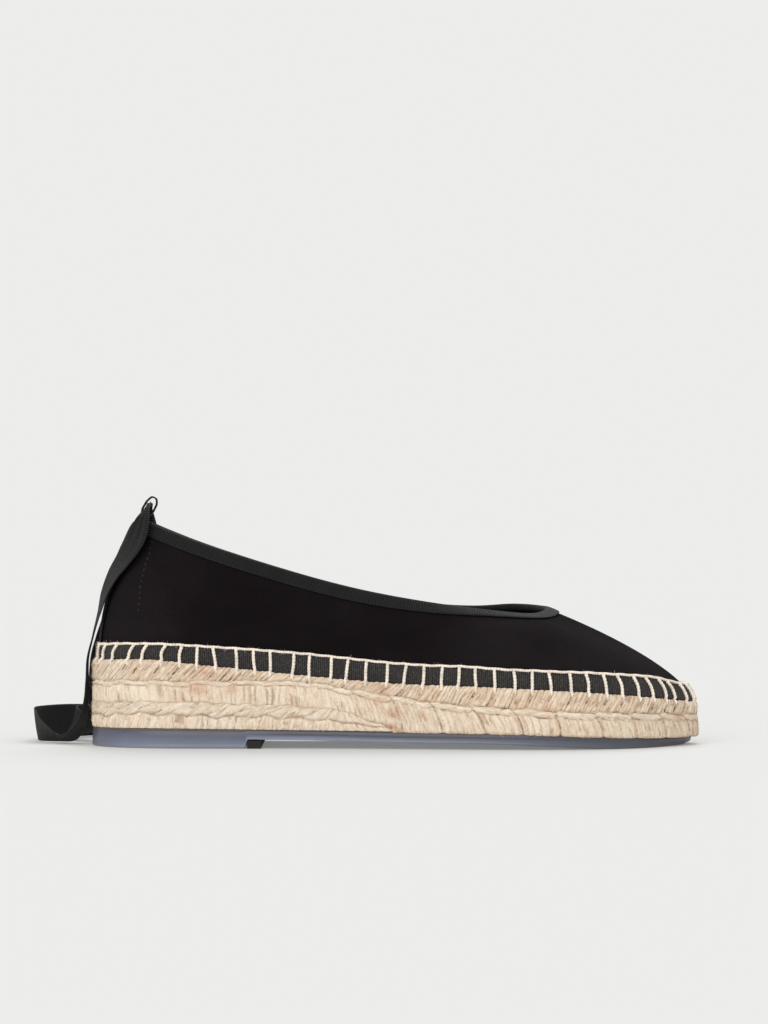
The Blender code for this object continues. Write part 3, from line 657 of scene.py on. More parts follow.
# rows of points up the straight wall, rounding of foot and top, insets of the rows on the top
MAIN_PROFILE = (40, 0.45, 1.5, (0.9, 2.0, 3.2, 7.0))
WEDGE_PROFILE = (22, 0.35, 0.4, (2.0, 6.0))
MAIN_SUNK = 0.35             # how far the foot of the main braid sinks into what is below it
FOREFOOT_SUNK = 0.45         # and how much farther at the forefoot
WEDGE_SUNK = 0.15
CHAIN_LINK = 17.0
OUTER_UP_TO = 5.0            # how far inwards of the middle line a point is still outer side
WEDGE_MERGE = 1.5            # how far behind the wedge's end the main braid comes down to the rubber
FIBRE_ROOM = (0.3, 9.0)      # shortest and longest room that a laid fibre is given
CHAIN_RISE = (
    # x, height of the running chain
    (-129.0, 27.0),
    (-62.0, 27.8),
    (-34.0, 26.4),
    (-22.0, 24.9),
    (-11.0, 22.8),
    (0.0, 20.8),
    (20.0, 17.6),
    (32.0, 16.6),
    (64.0, 15.0),
    (129.0, 11.8),
)
RUSTY_MARKS = (
    # x, height, radius: where darker, redder fibres show
    (-83.0, 25.0, 4.5),
    (-79.0, 32.5, 5.0),
    (-69.0, 24.5, 2.6),
    (-5.5, 24.8, 3.4),
    (-7.5, 20.0, 2.4),
    (0.0, 15.5, 3.0),
    (-1.5, 9.8, 2.6),
    (11.0, 14.0, 2.4),
    (63.0, 17.4, 2.2),
    (119.0, 12.8, 2.6),
)


def wander(seed, wave, at, period=None):
    """A soft random curve from -1 to 1, which closes on itself round the sole or a period."""
    period = period or sole_round
    count = max(int(round(period / wave)), 3)
    values = np.random.default_rng(seed).uniform(-1.0, 1.0, count)
    place = np.mod(at / period, 1.0) * count
    low = np.floor(place).astype(int)
    t = place - low
    t = t * t * (3 - 2 * t)
    return values[low % count] * (1 - t) + values[(low + 1) % count] * t


def parted(at, edges):
    """For each place the part that it is in, the share across the part and its width."""
    closed = np.concatenate([edges, [edges[0] + sole_round]])
    place = np.mod(at - edges[0], sole_round) + edges[0]
    index = np.clip(np.searchsorted(closed, place, side="right") - 1, 0, len(edges) - 1)
    width = np.diff(closed)[index]
    return index, (place - closed[index]) / width, width


def strands(at, pitch, seed, spread):
    """Divides a row into uneven strands: for each place a tone, the share across and the width."""
    rng = np.random.default_rng(seed)
    widths = rng.uniform(1 - spread, 1 + spread, int(round(sole_round / pitch)))
    edges = np.concatenate([[0.0], np.cumsum(widths)[:-1]]) * sole_round / np.sum(widths)
    index, share, width = parted(at, edges)
    return rng.uniform(0.0, 1.0, len(edges))[index], share, width


def rounded(share, squareness):
    """Height across a strand, 0 at its edges and 1 in the middle."""
    return 1 - np.abs(2 * share - 1) ** squareness


def valley(share, width, reach):
    """1 at a strand's edges, falling to 0 within a reach."""
    gap = np.minimum(share, 1 - share) * width
    return np.exp(-(gap / reach) ** 2)


def bell(away, reach):
    """1 at no distance, falling to 0 within a reach."""
    return np.exp(-(away / reach) ** 2)


def deepest(*grooves):
    """The deepest of several grooves at each point."""
    return np.maximum.reduce(np.broadcast_arrays(*grooves))


def braid_material():
    """Dry jute: each strand has its own tone, streaked along its fibres; painted shade makes the grooves
    browner and their deepest parts near black.
    """
    material, shader = new_material("jute_braid", 0.95, Sheen_Weight=0.08, Specular_IOR_Level=0.08)
    grain = carried(shader, "grain")
    marks = axes(carried(shader, "marks"))
    place = here(shader)
    fibre = noise(stretched(grain, (2.3, 0.17, 5.0)), 1.0, 5.0, 0.7)
    coarse = noise(stretched(grain, (0.62, 0.10, 3.0)), 1.0, 2.0)
    fleck = noise(stretched(grain, (1.5, 0.65, 5.0)), 1.0, 3.0, 0.65)
    speck = noise(place, 900.0, 4.0, 0.7)
    cloud = noise(place, 60.0, 3.0)
    tone = summed((marks["X"], 0.24), (fibre, 1.05), (coarse, 0.35), (speck, 0.40), (cloud, 0.30),
                  (ramp(fleck, 0.55, 0.70, 0.66), -1.0), more=-0.50)
    colour = tone_of(tone, (
        (0.0, (0.470, 0.290, 0.165)),
        (0.25, (0.660, 0.475, 0.320)),
        (0.50, (0.800, 0.635, 0.470)),
        (0.75, (0.880, 0.745, 0.590)),
        (1.0, (0.930, 0.830, 0.700)),
    ))
    ragged = summed((speck, 1.6), more=-0.25)
    # painted shade: brown in the grooves, near black where they are deepest; then the real rusty stains
    for depth, stain in (
            (marks["Y"], (0.390, 0.225, 0.120, 1.0)),
            (maths("SUBTRACT", marks["Y"], 0.9), (0.100, 0.050, 0.026, 1.0)),
            (marks["Z"], (0.560, 0.235, 0.130, 1.0))):
        colour = mixed(times(depth, ragged), colour, stain)
    paint(shader, colour, summed((fibre, 1.0), (speck, 0.5)), 0.45 * MM, 0.8)
    return material


def rust_at(x, level, outer):
    """How red the fibres are at a place, from the marks on the outer side."""
    rust = np.zeros_like(level)
    for mark_x, mark_level, radius in RUSTY_MARKS:
        away = ((x - mark_x) / radius) ** 2 + ((level - mark_level) / (0.8 * radius)) ** 2
        rust = np.maximum(rust, np.exp(-away))
    return 0.75 * rust * outer


def braid_profile(foot, top, levels, foot_round, top_round, ledges):
    """Rows up a layer's wall: height, inset, rise of the outward normal and length so far."""
    low = foot + foot_round
    high = top - top_round
    rows = []
    for lean in np.radians(np.linspace(-90, -15, 4)):
        level = low + foot_round * math.sin(lean)
        rows.append((level, foot_round * (1 - math.cos(lean)), lean, level))
    for share in np.linspace(0.0, 1.0, levels):
        level = low + share * (high - low)
        rows.append((level, 0.0, 0.0, level))
    for lean in np.radians(np.linspace(15, 90, 6)):
        level = high + top_round * math.sin(lean)
        rows.append((level, top_round * (1 - math.cos(lean)), lean, high + top_round * lean))
    for ledge in ledges:
        rows.append((top, ledge, math.pi / 2, high + top_round * math.pi / 2 + ledge))
    return [np.array([np.broadcast_to(row[k], foot.shape) for row in rows]) for k in range(4)]


def braid_layer(name, walk, profile, relief, look, comb, material):
    """A braided layer, with its relief added along the normal of each row of its profile.

    Its points carry what the material and the fibres read. A look is the place across and
    along the strands, their tone, the painted shade of the grooves and the red; a comb is the lean
    of the strands, the share of fibres laid there and the room for one.
    """
    plan, outward = walk
    height, inset, lean = profile[:3]
    rings = []
    for row in range(len(height)):
        depth = inset[row] - relief[row] * np.cos(lean[row])
        level = height[row] + relief[row] * np.sin(lean[row])
        rings.append(ring_at(plan, outward, depth * MM, level * MM))
    piece = layer_piece(name, rings, material)
    across, along, tone, groove_shade, rust = look
    strand_lean, laid, room = comb
    tangent = np.column_stack([-outward[:, 1], outward[:, 0]])
    way = np.concatenate([strand_lean[:, :, None] * tangent, np.ones((*lean.shape, 1))], axis=2)
    laid = laid * (1 - 0.85 * np.clip(groove_shade, 0, 1)) * (np.abs(lean) < 0.6)
    room = room * np.sqrt(1 + strand_lean ** 2) * MM
    for key, values in (
            ("grain", (across, along, 37.0 * tone)),
            ("marks", (tone, groove_shade, rust)),
            ("way", unit(way).transpose(2, 0, 1))):
        give_points(piece, key, np.stack(values, axis=2), "FLOAT_VECTOR")
    give_points(piece, "laid", laid)
    give_points(piece, "room", room)
    return piece


chain_table = np.array(CHAIN_RISE)
jute_top = heights_along("jute_midsole", True)
jute_under = heights_along("jute_midsole", False)
sole_plan, sole_out, sole_at, sole_round = walk_round(
    "jute_midsole", lambda x: np.interp(x / MM, chain_table[:, 0], chain_table[:, 1]) * MM)
sole_at = sole_at / MM
sole_round = sole_round / MM
sole_x = sole_plan[:, 0] / MM
outer_side = (sole_plan[:, 1] < OUTER_UP_TO * MM).astype(float)
stitch_uneven = np.random.default_rng(51).uniform(-STITCH_UNEVEN, STITCH_UNEVEN, STITCH_COUNT)
stitch_at = (np.arange(STITCH_COUNT) + stitch_uneven) * sole_round / STITCH_COUNT

# Lengths and reliefs below are in millimetres, and a groove is painted shade, given as a share of its full
# darkness.
# The main braid, with its two rows and the chain; its foot meets what is below it.
wedge_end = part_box("jute_wedge")[1].x / MM
past_wedge = sole_x > wedge_end - WEDGE_MERGE
foot = jute_under(sole_plan[:, 0]) / MM - MAIN_SUNK - FOREFOOT_SUNK * ease(30.0, 75.0, sole_x)
on_rubber = rubber_top(sole_plan[:, 0]) / MM
foot = np.where(past_wedge, np.minimum(foot, on_rubber), foot)
scallop = (0.55 * wander(10, 4.4, sole_at) + 0.30) * ~past_wedge
foot = foot + scallop
top = jute_top(sole_plan[:, 0]) / MM
profile = braid_profile(foot, top, *MAIN_PROFILE)
inset, lean, level = profile[1:]
at = np.broadcast_to(sole_at, level.shape)
x = np.broadcast_to(sole_x, level.shape)
chain = np.interp(sole_x, chain_table[:, 0], chain_table[:, 1]) + 0.35 * wander(11, 21.0, sole_at)
ahead_of_heel = ease(-30.0, -8.0, x)
bead = 0.85 + 0.40 * ahead_of_heel[0]

# upper row: lobes pulled together by the stitches, each of three strands
lean_up = 1.0 - 0.42 * ease(-30.0, 50.0, x) + 0.20 * wander(12, 16.0, at)
across_up = at - lean_up * (level - (top - 1.6)) + 0.30 * wander(13, 5.0, at + level)
lobe_number, lobe, lobe_width = parted(across_up, stitch_at)
lobe_tone = np.random.default_rng(14).uniform(0, 1, STITCH_COUNT)[lobe_number]
seam_number = (lobe_number + (lobe > 0.5)) % STITCH_COUNT
crack_foot = top - 1.6 - np.random.default_rng(22).uniform(1.5, 4.6, STITCH_COUNT)[seam_number]
strand_tone, strand_share, strand_width = strands(across_up, 2.3, 15, 0.45)
notch_room = ease(top - 4.8, top - 3.0, level) * (1 - ease(top - 1.0, top + 0.2, level))
notch = valley(lobe, lobe_width, 0.40) * notch_room
crack = ease(crack_foot, crack_foot + 1.0, level) * (1 - ease(top - 1.2, top - 0.6, level))
crack = crack * valley(lobe, lobe_width, 0.45 + 0.15 * wander(23, 2.0, at + level))
relief_up = 0.34 * rounded(lobe, 2.6) + 0.30 * rounded(strand_share, 1.8) - 0.80 * notch
relief_up = relief_up * ease(chain + bead - 0.5, chain + bead + 1.6, level)
broken = ease(-0.5, 0.5, wander(21, 2.6, at + 3 * level))
torn = ease(0.15, 0.75, wander(24, 3.4, at - 2 * level))
dash = ease(-0.4, 0.4, wander(26, 3.2, 0.5 * at + 1.2 * level))
# painted shade lines: between strands, in the notches, in the cracks between lobes (colour only, no relief)
# and in short dashes
groove_up = deepest(
    (0.7 * broken + 1.1 * torn) * valley(strand_share, strand_width, 0.27),
    notch, 0.9 * valley(lobe, lobe_width, 0.28), 2.6 * crack,
    1.3 * dash * ease(0.3, 0.8, wander(25, 1.1, across_up)))
tone_up = 0.45 * lobe_tone + 0.55 * strand_tone

# lower row: upright and close at the heel, slanted down and forward ahead of it
lean_down = -(0.05 + 0.42 * ahead_of_heel) + 0.12 * ease(30.0, 60.0, x) + 0.14 * wander(16, 24.0, at)
bow = 0.7 * ahead_of_heel * np.sin(math.pi * np.clip((level - foot) / (chain - foot), 0.0, 1.0))
across_down = at - lean_down * (level - chain) - bow + 0.35 * wander(17, 6.0, at - level)
link = np.mod(across_down / CHAIN_LINK + 0.5, 1.0)
down_tone, down_share, down_width = strands(across_down, 3.1, 18, 0.5)
strength = 0.50 + 0.50 * ahead_of_heel * (1 - 0.35 * ease(82.0, 100.0, x))
relief_down = strength * (0.20 * rounded(down_share, 2.0) + 0.75 * rounded(link, 6.0) * ahead_of_heel)
row_share = np.clip((level - foot) / (chain - bead - foot), 0.0, 1.0)
relief_down = relief_down + 0.30 * rounded(row_share, 5.0) - 0.1
# painted shade: between strands, round the chain's links, in dashes, and at the foot where the braid meets
# what is below
groove_down = deepest(
    strength * (0.55 * broken + 0.5 * torn) * valley(down_share, down_width, 0.24),
    strength * (1.0 + 0.8 * broken) * valley(link, CHAIN_LINK, 0.40) * ahead_of_heel,
    dash * ease(0.3, 0.8, wander(27, 1.0, across_down)),
    (0.55 + 0.6 * torn) * bell(level - foot, 0.6))

# the running chain: links that overlap end to end, each a twisted bundle
link_share = np.mod(sole_at / CHAIN_LINK + 0.5 + 0.06 * wander(19, 30.0, sole_at), 1.0)
link_ends = ease(-0.02, 0.14, link_share) * (1 - ease(0.88, 1.01, link_share))
link_radius = bead * np.sqrt(link_ends + 0.02)
link_level = chain + 0.9 * (0.5 - link_share) + 0.42 * wander(20, 4.2, sole_at)
off = (level - link_level) / link_radius
link_body = np.sqrt(np.clip(1 - off ** 2, 0.0, 1.0))
twist = np.sin(2 * math.pi * (at / 4.2 + (level - link_level) / 2.1))
relief_link = (0.55 + 0.35 * ahead_of_heel + 0.08 * twist) * link_body - 0.25
# painted shade round each link, where it sinks into the braid
groove_link = bell(np.abs(off) - 1.15, 0.32) * (link_radius > 0.3)

# the three together, and how the fibres lie: along their strand, and no longer than its room
above = level > link_level
between = np.clip(1 - np.abs(level - chain) / (bead + 0.6), 0.0, 1.0)
relief = np.maximum(np.where(above, relief_up, relief_down) - 0.40 * between, relief_link)
on_link = relief_link >= relief
groove_shade = deepest(np.where(above, groove_up, groove_down), (0.4 + 0.8 * broken + 0.9 * torn) * groove_link)
groove_shade = np.where(on_link, 0.0, groove_shade)
tone = np.where(on_link, 1.0, np.where(above, tone_up - 0.15, 0.40 + 0.6 * down_tone))
across = np.where(on_link, level + 0.35 * at, np.where(above, across_up, across_down))
along = np.where(on_link, at, np.where(above, level, (3.0 - 1.3 * ahead_of_heel) * level))
ledge_fade = 1 - ease(0.4, 1.6, inset - 0.9) * (lean > 1.5)
relief = np.where(lean > 1.5, np.minimum(relief, 0.22), relief) * ledge_fade
relief = np.where(lean < -1.0, 0.0, relief)
strand_lean = np.where(above, lean_up, lean_down - 0.25 * ahead_of_heel * (row_share - 0.5))
strand_lean = np.where(on_link, 12.0, strand_lean)
room = np.where(above, np.minimum(level - link_level - bead, top - level),
                np.minimum(level - foot, link_level - bead - level))
room = np.where(on_link, 2.6 / np.sqrt(1 + strand_lean ** 2), np.clip(room, *FIBRE_ROOM))
laid = np.where(above | on_link, 1.0, 0.45 + 0.55 * ahead_of_heel)
jute = braid_material()
midsole = braid_layer("jute_braid", (sole_plan, sole_out), profile, relief,
                      (across, along, tone, groove_shade, rust_at(x, level, outer_side)),
                      (strand_lean, laid, room), jute)
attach(midsole, "root")
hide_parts("jute_midsole")

# the heel braid: slanted strands over upright ones, meeting in a ragged line
wedge_top = heights_along("jute_wedge", True)
wedge_foot = heights_along("jute_wedge", False)
behind = np.flatnonzero(sole_x <= wedge_end)
order = np.concatenate([behind[behind > AROUND // 2], behind[behind <= AROUND // 2]])
if len(order) % 2:
    order = order[:-1]
plan = sole_plan[order]
foot = wedge_foot(plan[:, 0]) / MM - WEDGE_SUNK
top = np.maximum(wedge_top(plan[:, 0]) / MM + 0.1 + scallop[order], foot + 1.0)
profile = braid_profile(foot, top, *WEDGE_PROFILE)
lean, level = profile[2:]
at = np.where(order > AROUND // 2, sole_at[order] - sole_round, sole_at[order])
at = np.broadcast_to(at, level.shape)
x = np.broadcast_to(sole_x[order], level.shape)
zigzag = np.abs(2 * np.mod(at[0] / 13.0 + 0.1 * wander(31, 19.0, at[0]), 1.0) - 1)
ragged = 0.11 * (zigzag - 0.5) + 0.06 * wander(32, 7.0, at[0])
middle = foot + (top - foot) * (0.50 + ragged)
tuck = ease(-34.0, -12.0, x)
high_lean = 1.7 * (1 - 2.1 * tuck) + 0.5 * wander(33, 20.0, at)
across_high = at - high_lean * (level - middle) + 0.4 * wander(34, 6.0, at + level)
high_tone, high_share, high_width = strands(across_high, 5.4, 35, 0.5)
low_lean = 0.12 - 1.2 * tuck + 0.3 * wander(36, 18.0, at)
across_low = at - low_lean * (level - middle) + 0.3 * wander(39, 4.0, at - level)
low_tone, low_share, low_width = strands(across_low, 3.6, 37, 0.45)
above = level > middle
across = np.where(above, across_high, across_low)
seam = bell(level - middle, 0.40)
bulge_high = rounded(np.clip((level - middle) / (top - middle), 0, 1), 3.0)
bulge_low = rounded(np.clip((level - foot) / (middle - foot), 0, 1), 3.0)
relief = np.where(above, 0.30 * rounded(high_share, 2.2) + 0.40 * bulge_high,
                  0.26 * rounded(low_share, 2.0) + 0.36 * bulge_low)
relief = (relief - 0.45 * seam - 0.1) * ease(0.0, 5.0, top - foot)
relief = np.where(np.abs(lean) > 1.0, 0.0, relief)
broken = ease(-0.5, 0.5, wander(38, 2.4, at + 2 * level))
torn = ease(0.2, 0.8, wander(40, 3.0, at - level))
dash = ease(-0.1, 0.5, wander(28, 1.3, 0.4 * at + 1.3 * level))
# painted shade: between strands, in dashes, along the seam between the two rows, and at the top under the
# main braid
groove_shade = deepest(
    np.where(above, (0.6 * broken + 0.5 * torn) * valley(high_share, high_width, 0.3),
             (0.5 * broken + 0.5 * torn) * valley(low_share, low_width, 0.24)),
    dash * ease(0.3, 0.8, wander(29, 1.0, across)),
    (0.3 + 0.7 * broken + 0.9 * torn) * seam,
    (0.4 + 0.5 * torn) * bell(top - level, 0.5))
tone = np.where(above, 0.70 + 0.6 * high_tone, 0.65 + 0.5 * low_tone)
strand_lean = np.where(above, high_lean, low_lean)
room = np.where(above, np.minimum(level - middle, top - level), np.minimum(level - foot, middle - level))
wedge = braid_layer("jute_heel_braid", (plan, sole_out[order]), profile, relief,
                    (across, 2.4 * level, tone, groove_shade, rust_at(x, level, outer_side[order])),
                    (strand_lean, 1.0, np.clip(room, *FIBRE_ROOM)), jute)
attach(wedge, "root")
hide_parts("jute_wedge")


# ---------------------------------------------------------------- jute fibres
# The fibres of the strands: most lie along their strand, a little askew, and dry jute also
# sheds, so that short ones stand out of the braid all round.

LAID_FIBRES = {"Density": 0.62e6, "Length": 4.4 * MM, "Radius": 0.13 * MM}
STRAY_FIBRES = {"Density": 62000.0, "Length": 2.0 * MM, "Radius": 0.045 * MM}
SHED_BELOW_TOP = 0.1         # no stray fibre grows nearer than this to the band
SHED_FROM = 5.2              # nor lower than this


def new_tree(name, *sizes):
    """A geometry tree with a mesh or curve in and out, and what comes in, with named sizes."""
    tree = bpy.data.node_groups.new(name, "GeometryNodeTree")
    tree.interface.new_socket("Geometry", in_out="INPUT", socket_type="NodeSocketGeometry")
    for label in sizes:
        kind = "NodeSocketInt" if label == "Seed" else "NodeSocketFloat"
        tree.interface.new_socket(label, in_out="INPUT", socket_type=kind)
    tree.interface.new_socket("Geometry", in_out="OUTPUT", socket_type="NodeSocketGeometry")
    return tree, tree.nodes.new("NodeGroupInput").outputs


def end_tree(geometry, material):
    """The last three nodes: real meshes, their finish, and the way out."""
    tree = geometry.id_data
    real = add_node(tree, "GeometryNodeRealizeInstances", {"Geometry": geometry})
    soft = add_node(tree, "GeometryNodeSetShadeSmooth", {"Geometry": real.outputs[0]})
    dressed = add_node(tree, "GeometryNodeSetMaterial", {
        "Geometry": soft.outputs[0], "Material": material})
    tree.links.new(dressed.outputs[0], tree.nodes.new("NodeGroupOutput").inputs[0])
    return tree


def evaluated_mesh(piece):
    """A plain mesh of a piece as its modifiers leave it."""
    bpy.context.view_layer.update()
    evaluated = piece.evaluated_get(bpy.context.evaluated_depsgraph_get())
    return bpy.data.meshes.new_from_object(evaluated)


def grown(host, tree, sizes, name):
    """The tree's result on a host, as a plain mesh piece of its own."""
    modifier = host.modifiers.new(tree.name, "NODES")
    modifier.node_group = tree
    for item in tree.interface.items_tree:
        if item.item_type == "SOCKET" and item.in_out == "INPUT" and item.name in sizes:
            modifier[item.identifier] = sizes[item.name]
    mesh = evaluated_mesh(host)
    mesh.name = name
    host.modifiers.remove(modifier)
    finish = [material for material in mesh.materials if material][-1]
    mesh.materials.clear()
    mesh.materials.append(finish)
    mesh.polygons.foreach_set("material_index", np.zeros(len(mesh.polygons), dtype=np.int32))
    return placed(name, mesh)


def named_value(tree, name, kind="FLOAT"):
    """What the host's points carry under a name."""
    return add_node(tree, "GeometryNodeInputNamedAttribute", {"Name": name}, data_type=kind).outputs[0]


def vector(tree, x=0.0, y=0.0, z=0.0):
    return add_node(tree, "ShaderNodeCombineXYZ", {"X": x, "Y": y, "Z": z}).outputs[0]


def drawn(tree, low, high, seed):
    """A random number or vector for each instance; the numbers are the sockets of the node."""
    if isinstance(low, tuple):
        inputs = {0: low, 1: high, "Seed": seed}
        return add_node(tree, "FunctionNodeRandomValue", inputs, data_type="FLOAT_VECTOR").outputs[0]
    inputs = {2: low, 3: high, "Seed": seed}
    return add_node(tree, "FunctionNodeRandomValue", inputs, data_type="FLOAT").outputs[1]


def aimed(rotation, way, axis, pivot="AUTO"):
    """A rotation turned so that an axis points a way."""
    return add_node(way.id_data, "FunctionNodeAlignRotationToVector", {
        "Rotation": rotation, "Vector": way}, axis=axis, pivot_axis=pivot).outputs[0]


def turned(rotation, turn):
    return add_node(turn.id_data, "FunctionNodeRotateRotation", {
        "Rotation": rotation, "Rotate By": turn}, rotation_space="LOCAL").outputs[0]


def scattered(given, limit):
    """Points spread over a mesh, as thickly as one of its values lets them be."""
    density = times(given["Density"], named_value(given["Density"].id_data, limit))
    return add_node(density.id_data, "GeometryNodeDistributePointsOnFaces", {
        "Mesh": given["Geometry"], "Density": density, "Seed": given["Seed"]}).outputs


def tube(line, sides, radius):
    """A closed tube along a line."""
    tree = line.id_data
    ring = add_node(tree, "GeometryNodeCurvePrimitiveCircle", {"Resolution": sides, "Radius": radius})
    return add_node(tree, "GeometryNodeCurveToMesh", {
        "Curve": line, "Profile Curve": ring.outputs["Curve"], "Fill Caps": True}).outputs[0]


def bent_thread(start, middle, end, steps, sides, radius):
    """A thin tube that bends from its start to its end."""
    line = add_node(start.id_data, "GeometryNodeCurveQuadraticBezier", {
        "Resolution": steps, "Start": start, "Middle": middle, "End": end})
    return tube(line.outputs[0], sides, radius)


def copied_to(spots, shape, rotation, scale, material):
    """Ends a tree with a copy of a shape on each spot."""
    copies = add_node(shape.id_data, "GeometryNodeInstanceOnPoints", {
        "Points": spots["Points"], "Instance": shape, "Rotation": rotation, "Scale": scale})
    return end_tree(copies.outputs[0], material)


def combed_tree(material):
    """Thin bowed fibres laid on a mesh along 'way', where 'laid' lets them, to fit in 'room'."""
    tree, given = new_tree("combed_fibres", "Density", "Length", "Radius", "Seed")
    spots = scattered(given, "laid")
    radius = given["Radius"]
    half = times(given["Length"], 0.5)
    sunk = times(radius, -0.9)
    fibre = bent_thread(
        vector(tree, x=sunk, z=times(half, -1.0)),
        vector(tree, x=times(radius, 2.4), y=times(half, 0.14)),
        vector(tree, x=sunk, z=half), 3, 3, radius)
    along = aimed((0.0, 0.0, 0.0), named_value(tree, "way", "FLOAT_VECTOR"), "Z")
    outward = aimed(along, spots["Normal"], "X", "Z")
    flip = maths("FLOOR", drawn(tree, 0.0, 2.0, 3))
    swing = maths("MULTIPLY_ADD", flip, math.pi, drawn(tree, -0.22, 0.22, 4))
    pose = turned(outward, vector(tree, x=swing, y=drawn(tree, -0.05, 0.05, 5)))
    fit = maths("MINIMUM", maths("DIVIDE", named_value(tree, "room"), half), 1.0)
    stretch = vector(tree, 1.0, 1.0, times(fit, drawn(tree, 0.6, 1.0, 6)))
    return copied_to(spots, fibre, pose, stretch, material)


def fibre_tree(material):
    """Bent hairs scattered over a mesh where its point value 'shed' lets them grow."""
    tree, given = new_tree("stray_fibres", "Density", "Length", "Radius", "Seed")
    spots = scattered(given, "shed")
    size = given["Length"]
    hair = bent_thread(
        vector(tree, z=times(size, -0.25)), vector(tree, z=times(size, 0.75)),
        vector(tree, x=times(size, 0.55), z=size), 4, 3, given["Radius"])
    pose = turned(spots["Rotation"], drawn(tree, (-1.25, -1.25, -3.14), (1.25, 1.25, 3.14), 5))
    return copied_to(spots, hair, pose, drawn(tree, 0.3, 1.0, 6), material)


def thread_material(name, colour, roughness):
    """Matte thread or fibre, a little uneven in tone."""
    return speckled(name, roughness, 420.0, (
        (0.25, shade(colour, 0.72)), (0.5, colour), (0.75, shade(colour, 1.12))),
        Sheen_Weight=0.2, Specular_IOR_Level=0.15)


combing = combed_tree(jute)
shedding = fibre_tree(thread_material("jute_fibre", (0.84, 0.70, 0.53), 0.9))
for host, laid_name, stray_name, seed in (
        (midsole, "laid_fibres", "stray_fibres", 41),
        (wedge, "laid_fibres_heel", "stray_fibres_heel", 42)):
    laid_fibres = grown(host, combing, {**LAID_FIBRES, "Seed": seed}, laid_name)
    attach(laid_fibres, "root")
    coords = np.array([v.co for v in host.data.vertices])
    give_points(host, "shed", (coords[:, 2] < jute_top(coords[:, 0]) - SHED_BELOW_TOP * MM)
                & (coords[:, 2] > SHED_FROM * MM))
    fibres = grown(host, shedding, {**STRAY_FIBRES, "Seed": seed}, stray_name)
    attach(fibres, "root")


# ---------------------------------------------------------------- insole
# A thin padded sock of black leather, laid on the jute inside the upper and pressed against
# its lining all round.

SOCK_SPREAD = 0.9            # how far its edge is pressed out, to the lining
SOCK_EDGE = 0.9              # rounding of its edge
SOCK_COLOUR = (0.030, 0.028, 0.027)


def joined_copy(node, name, material):
    """A node's mesh as one skin of mostly four-sided faces, in a new piece."""
    bm = bmesh.new()
    bm.from_mesh(nodes[node].data)
    bmesh.ops.remove_doubles(bm, verts=bm.verts, dist=0.002 * MM)
    bmesh.ops.join_triangles(bm, faces=bm.faces, angle_face_threshold=math.radians(25),
                             angle_shape_threshold=math.radians(60))
    mesh = bpy.data.meshes.new(name)
    bm.to_mesh(mesh)
    bm.free()
    mesh.shade_smooth()
    mesh.materials.append(material)
    return placed(name, mesh)


def settled(piece):
    """Takes a piece's modifiers into its mesh."""
    mesh = evaluated_mesh(piece)
    piece.modifiers.clear()
    piece.data = mesh
    return piece


def sock_leather():
    """Black leather with fine pores, rubbed paler in patches."""
    material, shader = new_material("sock_leather", 0.55, Specular_IOR_Level=0.25)
    place = here(shader)
    pores = add_node(shader.id_data, "ShaderNodeTexVoronoi", {
        "Vector": place, "Scale": 1100.0}, feature="DISTANCE_TO_EDGE").outputs["Distance"]
    tone = tone_of(noise(place, 45.0, 4.0), (
        (0.3, shade(SOCK_COLOUR, 0.75)), (0.7, shade(SOCK_COLOUR, 1.3))))
    paint(shader, tone, pores, 0.12 * MM, 0.4)
    return material


insole = joined_copy("insole", "insole_sock", sock_leather())
for vertex, normal in [(v, v.normal.copy()) for v in insole.data.vertices]:
    vertex.co += SOCK_SPREAD * MM * Vector((normal.x, normal.y, 0.0))
edge = insole.modifiers.new("edge", "BEVEL")
edge.width = SOCK_EDGE * MM
edge.segments = 3
edge.limit_method = "ANGLE"
edge.angle_limit = math.radians(50)
settled(insole)
insole.data.shade_smooth()
insole.data.set_sharp_from_angle(angle=math.radians(35))
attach(insole, "root")
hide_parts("insole")


# ---------------------------------------------------------------- upper
# One piece of black suede with a soft short nap, backed with a thin woven lining and lasted
# over the foot shape. It is darkest on the flanks, and painted highlight lightens it towards
# the toe and the heel, where it turns.

SPINE_FROM = (-95.0, 2.0, 36.0)     # a line inside the shoe: faces that look at it are lining
SPINE_TO = (88.0, 2.0, 36.0)
LEVELS = 2                          # how often a cover is subdivided, to take its flats off


def rounded_copy(node, name, material):
    """A node's skin, subdivided."""
    piece = joined_copy(node, name, material)
    modifier = piece.modifiers.new("rounder", "SUBSURF")
    modifier.levels = LEVELS
    modifier.render_levels = LEVELS
    return settled(piece)


def suede():
    """Nearly black, with painted highlight towards the toe and heel; the nap has soft lighter swipes, and
    grazing light gives it a grey bloom.
    """
    material, shader = new_material(
        "suede", 1.0, Sheen_Weight=0.018, Sheen_Roughness=0.5,
        Sheen_Tint=(0.62, 0.60, 0.62, 1.0), Specular_IOR_Level=0.0)
    place = here(shader)
    swipe = noise(stretched(place, (22.0, 30.0, 38.0), (0.0, 0.5, 0.0)), 1.0, 3.0, distortion=0.6)
    nap = noise(place, 1300.0, 5.0, 0.7)
    pile = noise(place, 330.0, 4.0)
    x = axes(place)["X"]
    # painted highlight: lighter towards the toe and the heel, where the suede turns to the light
    toe_highlight = ramp(x, -30 * MM, 90 * MM, way="SMOOTHSTEP")
    heel_highlight = ramp(x, -75 * MM, -115 * MM, way="SMOOTHSTEP")
    tone = summed((swipe, 0.55), (nap, 0.30), (toe_highlight, 0.24), (heel_highlight, 0.12))
    colour = tone_of(tone, (
        (0.25, (0.0060, 0.0046, 0.0050)),
        (0.45, (0.0094, 0.0074, 0.0080)),
        (0.95, (0.0235, 0.0200, 0.0208)),
    ))
    paint(shader, colour, summed((nap, 1.0), (pile, 0.7)), 0.22 * MM, 0.6)
    return material


